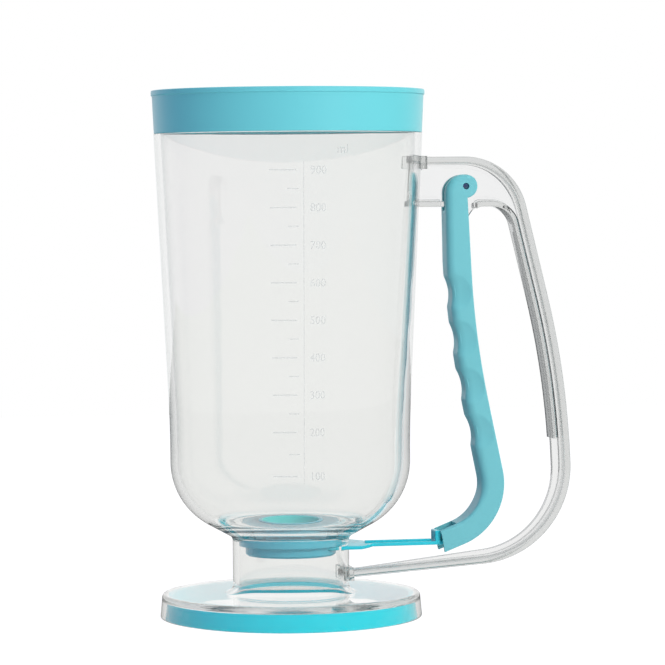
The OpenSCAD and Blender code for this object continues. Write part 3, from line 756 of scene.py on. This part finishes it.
stations = [(stop[2], in_step(back_line, front_line, stop, next_stop, 0.8))
            for stop, next_stop in zip(stops[:-1], stops[1:])]
arch_from_z = 150
hook_end_x = 82
pad_fillet_x = 64
wall_end_x = 57
handle_rows = []
for kind, lengths in stations:
    half = half_section(kind)
    back_point, back_in_way = at(back_line, lengths[:, 0])
    front_point, front_in_way = at(front_line, lengths[:, 1])
    at_hook = (front_point[:, :1] < hook_end_x) & (front_point[:, 1:] > arch_from_z)
    front_in_way = np.where(at_hook, (0.0, -1.0), front_in_way)
    height = np.hypot(*(back_point - front_point).T)[:, None]
    depth = half[:, 1][None, :]
    on_front = half[:, 2][None, :] == 1
    if kind != "foot":
        share = np.clip((height - flange_t) / (grip_depth - flange_t), 0.02, 1)
        under = pad_h - pad_high if kind == "pad" else flange_t
        at_pad = (back_point[:, :1] < pad_fillet_x) & (back_point[:, 1:] > arch_from_z)
        stop = np.where(at_pad, pad_h - pad_high, flange_t) + section_fillet
        depth = np.where((half[:, 0] == web_half) & (depth >= pad_h) & ~on_front, stop, depth)
        squeezed = np.where(depth > under, under + (depth - under) * share, depth)
        depth = np.where(on_front, depth * share, squeezed)
    depth = np.broadcast_to(depth, (len(height), len(half)))[..., None]
    from_back = back_point[:, None] + depth * back_in_way[:, None]
    from_front = front_point[:, None] - depth * front_in_way[:, None]
    flat = np.where(on_front[..., None], from_front, from_back)
    row = np.stack([flat[..., 0], np.broadcast_to(half[:, 0], flat.shape[:2]), flat[..., 1]], axis=-1)
    handle_rows.append(np.concatenate([row, (row * (1, -1, 1))[:, -2:0:-1]], axis=1))
handle_grid = np.concatenate(handle_rows)


def face_x(points, radius):
    """How far out a round face stands at the points' y: the root of its radius squared less y squared."""
    return np.sqrt(np.maximum(0, (radius + weld_gap) ** 2 - points[..., 1] ** 2))


handle_grid[0, :, 0] = face_x(handle_grid[0], jug_radius(handle_grid[0, :, 2]))
handle_grid[-1, :, 0] = face_x(handle_grid[-1], throat_r)
near_wall = (handle_grid[..., 0] < wall_end_x) & (handle_grid[..., 2] > arch_from_z)
clear_x = np.maximum(handle_grid[..., 0], face_x(handle_grid, jug_radius(handle_grid[..., 2])))
handle_grid[..., 0] = np.where(near_wall, clear_x, handle_grid[..., 0])


def end_cap(first, columns):
    """Quads across a closed section whose second half mirrors its first."""
    k = np.arange(columns // 2)
    return first + np.stack([k, k + 1, columns - k - 1, (columns - k) % columns], axis=-1)


handle_count, section_count = handle_grid.shape[:2]
handle_faces = [
    *grid_faces(handle_count, section_count, False, True).reshape(-1, 4),
    *end_cap(0, section_count),
    *end_cap((handle_count - 1) * section_count, section_count),
]
# the inner flange's edge at the web takes a second, darker material: a painted dark reflection that draws a
# dark line from the arch's bend down to where that flange ends
dark_down_arch = 14
dark_first, dark_last = 23, 26
section_rows = np.cumsum([len(lengths) for _, lengths in stations])
dark_rows = np.arange(section_rows[6] + dark_down_arch, section_rows[9])
dark_near = np.arange(dark_first, dark_last + 1)
dark_columns = np.concatenate([dark_near, section_count - 1 - dark_near])
is_painted_reflection = np.zeros(len(handle_faces), int)
is_painted_reflection[(dark_rows[:, None] * section_count + dark_columns).ravel()] = 1
# both handle materials turn darker edge-on by a painted dark reflection; the first is painted dark all over
painted_reflection_handle = clear_styrene("painted_reflection_handle_styrene", (0.22, 0.24, 0.24), 54, (0.05, 0.07, 0.08), 0.22)
clear_handle = clear_styrene("clear_handle_styrene", (0.99, 0.99, 0.99), 54, (0.05, 0.07, 0.08), 0.22)
add_piece("handle_moulding", handle_grid.reshape(-1, 3), handle_faces, clear_handle, "jug", "clear_handle",
          "handle", second=painted_reflection_handle, is_second=is_painted_reflection)


def lathe(profile, columns, closed=True):
    """Points and faces of a profile turned round the jug's axis."""
    return turned(profile, columns), grid_faces(len(profile), columns, closed, True).reshape(-1, 4)


# bosses on both sides of the web, round the pin, that keep the trigger central
pivot = np.array([72.9, 175.6])
boss_in_r = 1.32
boss_r = 2.3
boss_half = 4.7
boss_columns = 64
boss_points, boss_faces = lathe(rounded_line([
    (boss_in_r, web_half, 0), (boss_r, web_half, 0), (boss_r, boss_half, 0.2), (boss_in_r, boss_half, 0.1),
], closed=True), boss_columns)
boss_points = boss_points[:, [0, 2, 1]] + (pivot[0], 0, pivot[1])
add_piece("pivot_boss_near", boss_points * (1, -1, 1), boss_faces, clear_handle, "jug", "clear_handle")
add_piece("pivot_boss_far", boss_points, boss_faces, clear_handle, "jug", "clear_handle")

# ---- Trigger ----
# A satin turquoise lever, moulded as a channel: a finger wall towards the jug with four finger grooves, and
# two cheeks that straddle the handle's web. Its round head turns on the pin.

head_r = 4.8
trigger_half = 6.5
cheek_in = 5.0
finger_wall = 2.0
edge_r = 3.0
web_slot_half = 2.0
web_slot_z = 165.5
notch_x = 68.4
groove_z = 132.4
groove_pitch = 19.2
groove_count = 4
groove_depth = 1.2
groove_r = 16.0
groove_half = 7.5
groove_soft = 0.02
scoop_r = 7.6
scoop_in = 1.0
scoop_depth = 1.2
hook_angle = math.radians(-82)
cap_angle = math.radians(36)
trigger_crease = 50


def head_arc(start, end):
    """Points round the trigger's head from one angle to another."""
    angle = np.linspace(start, end, 40)
    return pivot + head_r * np.stack([np.cos(angle), np.sin(angle)], axis=1)


hook_point = head_arc(hook_angle, hook_angle)[0]
finger_corners = [
    (61.4, 34.2, 0), (81.8, 42.3, 17), (69.4, 104.2, 375), (65.2, 141.0, 120),
    (pivot[0] - 8.3, pivot[1] + head_r, 7.6), (pivot[0] + 0.1, pivot[1] + head_r, 0),
]
palm_corners = [(63.3, 25.3, 0), (92.5, 36.7, 26.5), (76.5, 113.6, 345), (*hook_point, 0)]
finger_line = np.concatenate([rounded_line(finger_corners, stretch=0.5, arc_step=math.radians(1)),
                              head_arc(math.radians(88), cap_angle)])
palm_line = np.concatenate([rounded_line(palm_corners, stretch=0.5, arc_step=math.radians(1)),
                            head_arc(hook_angle, cap_angle)[1:]])
trigger_stops = [
    ((61.4, 34.2), (63.3, 25.3)),
    ((70.4, 37.7), (76.0, 30.3)),
    ((79.4, 56.0), (87.6, 60.0)),
    ((69.9, 100.9), (78.0, 103.0)),
    ((65.0, 156.0), (74.2, 158.0)),
    ((64.9, 166.0), (73.6, 169.5)),
    ((64.8, 170.0), hook_point),
    (finger_line[-1], palm_line[-1]),
]
lengths = [in_step(finger_line, palm_line, stop, next_stop, 0.7)
           for stop, next_stop in zip(trigger_stops[:-1], trigger_stops[1:])]
lengths = np.concatenate([*(part[:-1] for part in lengths), lengths[-1][-1:]])
finger_point, finger_in = at(finger_line, lengths[:, 0])
palm_point, palm_in = at(palm_line, lengths[:, 1])
palm_in = -palm_in
groove_at = groove_z - groove_pitch * np.arange(groove_count)
from_groove = np.abs(finger_point[:, 1][:, None] - groove_at).min(axis=1)
across_groove = np.minimum(from_groove, groove_r)
groove = groove_depth - groove_r + np.sqrt(groove_r**2 - across_groove**2)
groove = np.where(from_groove < groove_half, 0.5 * (groove + np.sqrt(groove**2 + groove_soft)), 0)
finger_skin = finger_point + groove[:, None] * finger_in
finger_inner = finger_point + finger_wall * finger_in

bend = np.linspace(0, math.pi / 2, 9)
cheek_shares = np.linspace(0, 1, 20)[1:-1]
front_y = np.array([2.9, 2.4, web_slot_half, 1, 0, -1, -web_slot_half, -2.4, -2.9])
palm_soft = 0.5


def stacked(y, point):
    """Points at one distance y from the trigger's middle plane."""
    return np.stack([point[:, 0], np.broadcast_to(y, len(point)), point[:, 1]], axis=1)


# the round edge narrows to nothing at the head's cap, and to the cheek's thickness where the finger wall ends
finger_wall_z = 44
across_width = np.hypot(*(finger_point - palm_point).T)
over_end = np.maximum(0, finger_point[:, 1] - finger_wall_z)
edge = np.minimum(np.minimum(edge_r, 0.35 * across_width), trigger_half - cheek_in + 0.2 * over_end)
edge_in = edge[:, None] * finger_in
near_palm = palm_point + palm_soft * palm_in
near_finger = finger_skin + edge_in
outer_half = [stacked(trigger_half - palm_soft * (1 - math.sin(t)),
                      palm_point + palm_soft * (1 - math.cos(t)) * palm_in) for t in bend]
outer_half += [stacked(trigger_half, near_palm + share * (near_finger - near_palm)) for share in cheek_shares]
outer_half += [stacked(trigger_half - edge * (1 - math.cos(t)), finger_skin + (1 - math.sin(t)) * edge_in)
               for t in bend]
fronts = [stacked(y, finger_skin) for y in front_y]
inner_half = [stacked(cheek_in, finger_inner)]
inner_half += [stacked(cheek_in, finger_inner + share * (palm_point - finger_inner))
               for share in cheek_shares]
inner_half += [stacked(cheek_in, palm_point)]
inner_fronts = [stacked(y, finger_inner) for y in -front_y]
mirrored = np.array([1, -1, 1])
columns = [*outer_half, *fronts, *[c * mirrored for c in outer_half[::-1]],
           *[c * mirrored for c in inner_half[::-1]], *inner_fronts, *inner_half]
trigger_grid = np.stack(columns, axis=1)

# scoops that carry the grooves round on to the cheeks
side = trigger_grid[..., 1]
along_z = np.abs(trigger_grid[..., 2][..., None] - groove_at).min(axis=-1)
from_front = np.hypot(*(trigger_grid[..., [0, 2]] - finger_point[:, None]).transpose(2, 0, 1))
reached = np.hypot(along_z, from_front - scoop_in)
dent = scoop_depth * np.maximum(0, 1 - (reached / scoop_r) ** 2)
turn_share = np.clip((np.abs(side) - (trigger_half - edge[:, None])) / np.maximum(0.01, edge[:, None]), 0, 1)
turn_share[:, len(outer_half) * 2 + len(fronts):] = 0
trigger_grid[..., 1] = side - np.sign(side) * dent * turn_share

trigger_rows, trigger_columns = trigger_grid.shape[:2]
trigger_quads = grid_faces(trigger_rows, trigger_columns, False, True)
kept = np.ones(trigger_quads.shape[:2], bool)
outer_first = len(outer_half) - 1
inner_first = 2 * len(outer_half) + len(fronts) + len(inner_half) - 1
slot_row = int(np.argmax(finger_point[:, 1] > web_slot_z))
notch_row = int(np.argmax(finger_point[:, 0] > notch_x))
slot_sides = [int(np.flatnonzero(front_y == y)[0]) for y in (web_slot_half, -web_slot_half)]
front_index = [len(outer_half) + k for k in slot_sides]
inner_index = [inner_first + 1 + k for k in slot_sides]
kept[slot_row:, front_index[0]:front_index[1]] = False
kept[slot_row:, inner_index[0]:inner_index[1]] = False
outer_edges = (outer_first, len(outer_half) + len(fronts))
inner_edges = (inner_first, inner_first + len(fronts) + 1)
kept[:notch_row, outer_edges[0]:outer_edges[1]] = False
kept[:notch_row, inner_edges[0]:inner_edges[1]] = False


def point_number(row, column):
    """Number of a point of the trigger's grid."""
    return row * trigger_columns + column


def wall_edge(first_row, last_row, outer_column, inner_column):
    """Quads that close the finger wall's thickness along a cut that runs up the trigger."""
    row = np.arange(first_row, last_row)
    return np.stack([point_number(row, outer_column), point_number(row + 1, outer_column),
                     point_number(row + 1, inner_column), point_number(row, inner_column)], axis=-1)


def wall_end_strip(row, outer_a, outer_b, inner_a, inner_b):
    """Quads that close the finger wall's thickness along a cut across the trigger."""
    outer = point_number(row, np.arange(outer_a, outer_b + 1))
    inner = point_number(row, np.arange(inner_b, inner_a - 1, -1))
    return np.stack([outer[:-1], outer[1:], inner[1:], inner[:-1]], axis=-1)


last_row = trigger_rows - 1
near_cheek = [*range(0, outer_edges[0] + 1), *range(inner_edges[1], trigger_columns)]
far_cheek = [*range(outer_edges[1], inner_edges[0] + 1)]
trigger_faces = [
    *trigger_quads[kept],
    *wall_edge(slot_row, last_row, front_index[0], inner_index[1]),
    *wall_edge(slot_row, last_row, front_index[1], inner_index[0]),
    *wall_end_strip(slot_row, front_index[0], front_index[1], inner_index[0], inner_index[1]),
    *wall_edge(0, notch_row, outer_edges[0], inner_edges[1]),
    *wall_edge(0, notch_row, outer_edges[1], inner_edges[0]),
    *wall_end_strip(notch_row, outer_edges[0], outer_edges[1], inner_edges[0], inner_edges[1]),
    *([point_number(0, column) for column in cheek] for cheek in (near_cheek, far_cheek)),
    *wall_end_strip(last_row, outer_edges[0], front_index[0], inner_index[1], inner_edges[1]),
    *wall_end_strip(last_row, front_index[1], outer_edges[1], inner_edges[0], inner_index[0]),
]

satin_turquoise = new_material("satin_turquoise", {"IOR": 1.5})
cloud = dress(satin_turquoise, 0.25, wave=(55, 0.3), grain=(2500, 0.06), gloss=(0.32, 0.44))
trigger_tint = mixed_colour(satin_turquoise.node_tree, cloud, (0.155, 0.51, 0.53), (0.175, 0.55, 0.575))
feed(satin_turquoise, "Base Color", trigger_tint)
trigger = add_piece("trigger_lever", trigger_grid.reshape(-1, 3), trigger_faces, satin_turquoise, "trigger",
                    "turquoise_trigger", "trigger", crease=trigger_crease)


def bar_across(x, z, radius, half, soft, columns=48):
    """Points and faces of a round bar along Y with softened ends: a profile turned, and laid on its side."""
    rounding = 0.3 * soft
    points, faces = lathe(np.array([
        (0, -half), (radius - soft, -half), (radius - rounding, -half + rounding), (radius, -half + soft),
        (radius, half - soft), (radius - rounding, half - rounding), (radius - soft, half), (0, half),
    ]), columns, False)
    return points[:, [0, 2, 1]] + (x, 0, z), faces


# bore for the pin, through both cheeks
pin_r = 1.3
bore_gap = 0.05
bore = add_piece("pin_bore_cutter", *bar_across(*pivot, pin_r + bore_gap, 2 * trigger_half, 0.1, columns=64),
                 satin_turquoise, "trigger", "turquoise_trigger")
cut = trigger.modifiers.new("pin_bore", "BOOLEAN")
cut.operation = "DIFFERENCE"
cut.solver = "EXACT"
cut.object = bore
bpy.context.view_layer.update()
bored = bpy.data.meshes.new_from_object(trigger.evaluated_get(bpy.context.evaluated_depsgraph_get()))
trigger.modifiers.clear()
trigger.data = bored
bpy.data.objects.remove(bore)
trigger.data.shade_smooth()
trigger.data.set_sharp_from_angle(angle=math.radians(trigger_crease))

# link bar between the cheeks, and the ribs that stiffen the channel
link = np.array([63.7, 32.0])
link_r = 1.5
add_piece("link_bar", *bar_across(*link, link_r, trigger_half - 0.5, 0.2), satin_turquoise, "trigger",
          "turquoise_trigger")


def soft_plate(outline, low, high, edge, plane="xy"):
    """A plate of this outline between two levels, its rim rounded by rings set in from the outline.

    The rings' insets follow a quarter circle at each level, and each point moves along its corner's bisector.
    """
    outline = np.asarray(outline, float)
    area = np.sum(outline[:, 0] * np.roll(outline[:, 1], -1) - np.roll(outline[:, 0], -1) * outline[:, 1])
    if area < 0:
        outline = outline[::-1]
    after = np.roll(outline, -1, axis=0) - outline
    after /= np.hypot(*after.T)[:, None]
    before = np.roll(after, 1, axis=0)
    inward = np.stack([-(after + before)[:, 1], (after + before)[:, 0]], axis=1)
    inward /= (1 + np.sum(after * before, axis=1))[:, None]
    quarter = np.linspace(0, math.pi / 2, 4)
    rings = [(edge * (1 - math.sin(t)), low + edge * (1 - math.cos(t))) for t in quarter]
    rings += [(edge * (1 - math.cos(t)), high - edge * (1 - math.sin(t))) for t in quarter]
    count = len(outline)
    points = np.concatenate([np.column_stack([outline + inset * inward, np.full(count, z)])
                             for inset, z in rings])
    last = (len(rings) - 1) * count
    sides = grid_faces(len(rings), count, False, True).reshape(-1, 4)
    faces = [*sides, range(count)[::-1], range(last, last + count)]
    if plane == "xz":
        points = points[:, [0, 2, 1]]
    return points, faces


rib_z = (150, 122.8, 103.6, 84.4)
rib_t = 1.4
rib_reach = 4.4
rib_half = cheek_in + 0.3
ribs = []
for z in rib_z:
    x = finger_point[np.argmin(np.abs(finger_point[:, 1] - z)), 0] + finger_wall / 2
    ribs.append(soft_plate([(x, z), (x + rib_reach, z), (x + rib_reach, z + rib_t), (x, z + rib_t)],
                           -rib_half, rib_half, 0.25, "xz"))
add_piece("channel_ribs", *joined(*ribs), satin_turquoise, "trigger", "turquoise_trigger")

# ---- Pivot pin and return spring ----
# A turned steel pin pressed through the handle's web, its ends set back in the trigger's cheeks, and a small
# spring of steel wire wound round it, one leg in the web and the other behind the finger wall.

pin_half = 5.8
turned_steel = new_material("turned_steel", {"Base Color": (0.42, 0.53, 0.68, 1), "Metallic": 1.0})
dress(turned_steel, 0.2, wave=(200, 0.1), grain=(4000, 0.1), gloss=(0.22, 0.36))
add_piece("steel_pin", *bar_across(*pivot, pin_r, pin_half, 0.3), turned_steel, "jug", "steel_pin",
          "pivot_pin")

wire_r = 0.3
coil_r = 2.0
coil_turns = 3
coil_y = web_half + 0.3 + wire_r
coil_step = 2 * wire_r + 0.1
leg_length = 14.0
foot = pivot + (-2.5, -5.6)
turn = np.linspace(0, 2 * math.pi * (coil_turns + 0.5), 180)
coil = np.stack([pivot[0] + coil_r * np.cos(turn), coil_y + coil_step * turn / (2 * math.pi),
                 pivot[1] + coil_r * np.sin(turn)], axis=1)
leg_y = coil[-1, 1]
leg_z = pivot[1] - leg_length
leg_x = finger_point[np.argmin(np.abs(finger_point[:, 1] - leg_z)), 0] + finger_wall + wire_r + 0.15
wire_line = np.concatenate([
    [(foot[0], 0, foot[1]), (foot[0], coil_y - 0.4, foot[1]), (foot[0] + 0.2, coil_y, foot[1] + 0.4),
     (pivot[0] + coil_r, coil_y, pivot[1] - 3)],
    coil,
    [(pivot[0] - coil_r - 0.4, leg_y, pivot[1] - 3), (leg_x, leg_y, leg_z)],
])


def wire_tube(line, radius, sides=10):
    """A round wire along a line: rings square to the line, turned to follow it, with flat ends."""
    way = np.gradient(line, axis=0)
    way /= np.linalg.norm(way, axis=1)[:, None]
    helper = np.where(np.abs(way[:, 1:2]) > 0.9, [[1.0, 0, 0]], [[0, 1.0, 0]])
    u = np.cross(helper, way)
    u /= np.linalg.norm(u, axis=1)[:, None]
    v = np.cross(way, u)
    angle = np.arange(sides) * 2 * math.pi / sides
    round_line = np.cos(angle)[:, None] * u[:, None] + np.sin(angle)[:, None] * v[:, None]
    last = (len(line) - 1) * sides
    skin = grid_faces(len(line), sides, False, True).reshape(-1, 4)
    faces = [*skin, range(sides), range(last, last + sides)]
    return (line[:, None] + radius * round_line).reshape(-1, 3), faces


spring = add_piece("wire_spring", *wire_tube(wire_line, wire_r), turned_steel, None, "spring_steel",
                   "return_spring")
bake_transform(spring)

# ---- Gate ----
# A flat cyan slide: a round-nosed blade that shuts the outlet, an arm to the trigger, and upright tabs that
# hold the trigger's link bar between them.

gate_low = 28.3
gate_high = 29.7
blade_half = 13.7
blade_reach = 31.0
arm_half = 4.2
link_gap = 0.3
tab_t = 2.2
tab_high = gate_high + 4.4
front_tab = link[0] - link_r - link_gap
rear_tab = link[0] + link_r + link_gap
fork_half = 2.0

nose = np.linspace(math.pi / 2, 3 * math.pi / 2, 49)
gate_side = [
    (0, blade_half, 0), (blade_reach - 4, blade_half, 0.8), (blade_reach, blade_half - 5, 1.2),
    (blade_reach + 2.5, arm_half, 1), (rear_tab + tab_t, arm_half, 0.4), (rear_tab + tab_t, fork_half, 0.4),
    (link[0], fork_half, 0.6),
]
outline = np.concatenate([
    blade_half * np.stack([np.cos(nose), np.sin(nose)], axis=1),
    rounded_line([*((x, -y, soft) for x, y, soft in gate_side), *gate_side[::-1]], stretch=4)[1:-1],
])
blade = soft_plate(outline, gate_low, gate_high, 0.3)
tab_places = [(front_tab - tab_t, -arm_half, arm_half), (rear_tab, fork_half, arm_half),
              (rear_tab, -arm_half, -fork_half)]
tab_outlines = [[(x, low, 0.5), (x + tab_t, low, 0.5), (x + tab_t, high, 0.5), (x, high, 0.5)]
                for x, low, high in tab_places]
tabs = [soft_plate(rounded_line(tab, closed=True), gate_high - 0.5, tab_high, 0.35) for tab in tab_outlines]
rib_end = front_tab - tab_t - 1
arm_rib = soft_plate([(blade_reach, -0.8), (rib_end, -0.8), (rib_end, 0.8), (blade_reach, 0.8)],
                     gate_high - 0.4, gate_high + 0.8, 0.2)
bright_cyan = new_material("bright_cyan", {"Base Color": (0.03, 0.60, 0.68, 1), "IOR": 1.5})
dress(bright_cyan, 0.15, wave=(80, 0.2), grain=(2500, 0.03), gloss=(0.2, 0.3))
add_piece("gate_slide", *joined(blade, *tabs, arm_rib), bright_cyan, "gate", "cyan_gate", "gate_slider")

# ---- Valve seat and outlet ring ----
# Two turquoise rings fill the throat under the floor. The seat snaps over lugs in the throat and its collar
# lines the hole in the floor. The outlet ring under it leaves a channel for the gate between two rails.

outlet_r = 11.8
collar_r = 12.8
bead = 0.5
bead_z = floor_z + 0.4
seat_z = 29.9
seat_r = throat_in_r - 0.3
ring_low_z = 25.8
ring_r = 18.5
rail_y = blade_half + 0.4
channel_z = 28.1
seat_columns = 144
seat_turquoise = new_material("seat_turquoise", {"IOR": 1.5})
dress(seat_turquoise, 0.15, wave=(80, 0.2), grain=(2500, 0.03), gloss=(0.2, 0.3))
seat_tree = seat_turquoise.node_tree
# painted light: the outlet's bore is painted a brighter, greener turquoise than the rest of the seat,
# standing in for light that hardly reaches down the deep hole
seat_out = distance_from_axis(seat_tree)
off_painted_light = add_node(seat_tree, "MapRange", {"Value": seat_out, "From Min": (outlet_r + 0.1) * MM,
                                            "From Max": (outlet_r + 0.5) * MM})
feed(seat_turquoise, "Base Color", mixed_colour(seat_tree, off_painted_light, (0.14, 0.80, 0.74), (0.10, 0.52, 0.62)))
seat_profile = rounded_line([
    (outlet_r, seat_z, 0.2), (seat_r, seat_z, 0.3), (seat_r, floor_under_z - 1.4, 0.3),
    (seat_r - 0.9, floor_under_z - 0.5, 0.2), (seat_r - 0.9, floor_under_z, 0.1),
    (collar_r, floor_under_z, 0.05), (collar_r, floor_z, 0.05), (collar_r + bead, floor_z, 0.1),
    (collar_r + bead, bead_z - 0.1, 0.1), (collar_r, bead_z, 0.1), (outlet_r + 0.4, bead_z, 0.1),
    (outlet_r, bead_z - 0.4, 0.1),
], closed=True, stretch=1.5)
add_piece("valve_seat_ring", *lathe(seat_profile, seat_columns), seat_turquoise, "jug", "turquoise_seat",
          "valve_seat")

# the outlet ring's channel for the gate: straight rails towards the handle, and a round end at the back
ring_columns = 288
ring_angle = np.arange(ring_columns) * 2 * math.pi / ring_columns
all_round = np.ones(ring_columns)
bore_r = outlet_r + 0.6
ring_edge = 0.8
straight_r = rail_y / np.maximum(1e-6, np.abs(np.sin(ring_angle)))
rail_r = np.minimum(np.where(np.cos(ring_angle) > 0, straight_r, rail_y), ring_r)
top_z = np.where(rail_r < ring_r - 1e-6, seat_z, channel_z)
ring_section = [
    (bore_r, ring_low_z), (ring_r - ring_edge, ring_low_z), (ring_r, ring_low_z + ring_edge), (ring_r, top_z),
    (rail_r, top_z), (rail_r, channel_z), (bore_r, channel_z),
]
ring_points = np.concatenate([
    np.stack([r * np.cos(ring_angle), r * np.sin(ring_angle), z * all_round], axis=-1)
    for r, z in ring_section
])
ring_faces = grid_faces(len(ring_section), ring_columns, True, True).reshape(-1, 4)
add_piece("outlet_guide_ring", ring_points, ring_faces, seat_turquoise, "jug", "turquoise_outlet",
          "outlet_ring")

# ---- Base ring ----
# A bright cyan band pressed into the hollow foot. It stands on the table and shows through the clear skirt.

band_out_r = 50.4
band_in_r = 48.0
band_z = 7.4
band_columns = 288
band_cyan = new_material("band_cyan", {
    "Base Color": (0.0, 0.70, 0.78, 1), "IOR": 1.5, "Specular IOR Level": 0.15,
})
dress(band_cyan, 0.15, wave=(60, 0.3), grain=(2500, 0.03), gloss=(0.2, 0.32))
band_profile = rounded_line([
    (band_out_r, band_z, 0.3), (band_in_r, band_z, 0.3), (band_in_r, 0, 0.3), (foot_r - skirt - 0.6, 0, 0.2),
    (foot_r - skirt - 0.2, skirt_lift, 0.1),
], closed=True, stretch=1.5)
add_piece("foot_band", *lathe(band_profile, band_columns), band_cyan, "jug", "cyan_ring", "base_ring")

# ---- Lid ----
# A satin turquoise cap, pressed over the jug's rim: a band that carries on the wall's lean, a fine lip round
# its top edge, a shallow sunk panel, and a plug ring inside.

lid_low_r = 54.5
lid_top_r = 55.6
lid_z = 215.0
lid_lip = 0.4
lid_lip_h = 2.0
lid_panel = 0.8
lid_t = 2.0
lid_gap = 0.3
plug_r = jug_top_r - jug_wall - lid_gap
plug_t = 1.4
plug_h = 5.0
lid_columns = 288
lid_under = lid_z - lid_panel - lid_t
lid_turquoise = new_material("lid_turquoise", {"Base Color": (0.145, 0.61, 0.64, 1), "IOR": 1.5})
dress(lid_turquoise, 0.05, wave=(20, 0.2), grain=(2500, 0.01), gloss=(0.3, 0.33))
lid_profile = rounded_line([
    (0, lid_z - lid_panel, 0),
    (lid_low_r - 2.0, lid_z - lid_panel, 0.8),
    (lid_low_r - 1.2, lid_z, 0.3),
    (lid_top_r, lid_z, 0.5),
    (lid_top_r, lid_z - lid_lip_h, 0.25),
    (lid_top_r - lid_lip, lid_z - lid_lip_h - 0.3, 0.3),
    (lid_low_r, shoulder_z, 0.35),
    (rim_r + lid_gap, shoulder_z, 0.2),
    (rim_r + lid_gap, lid_under, 0.4),
    (plug_r, lid_under, 0.3),
    (plug_r, lid_under - plug_h, 0.5),
    (plug_r - plug_t, lid_under - plug_h, 0.4),
    (plug_r - plug_t, lid_under, 0.4),
    (0, lid_under, 0),
], stretch=2.5)
add_piece("press_on_lid", *lathe(lid_profile, lid_columns, False), lid_turquoise, "lid", "turquoise_lid",
          "lid")
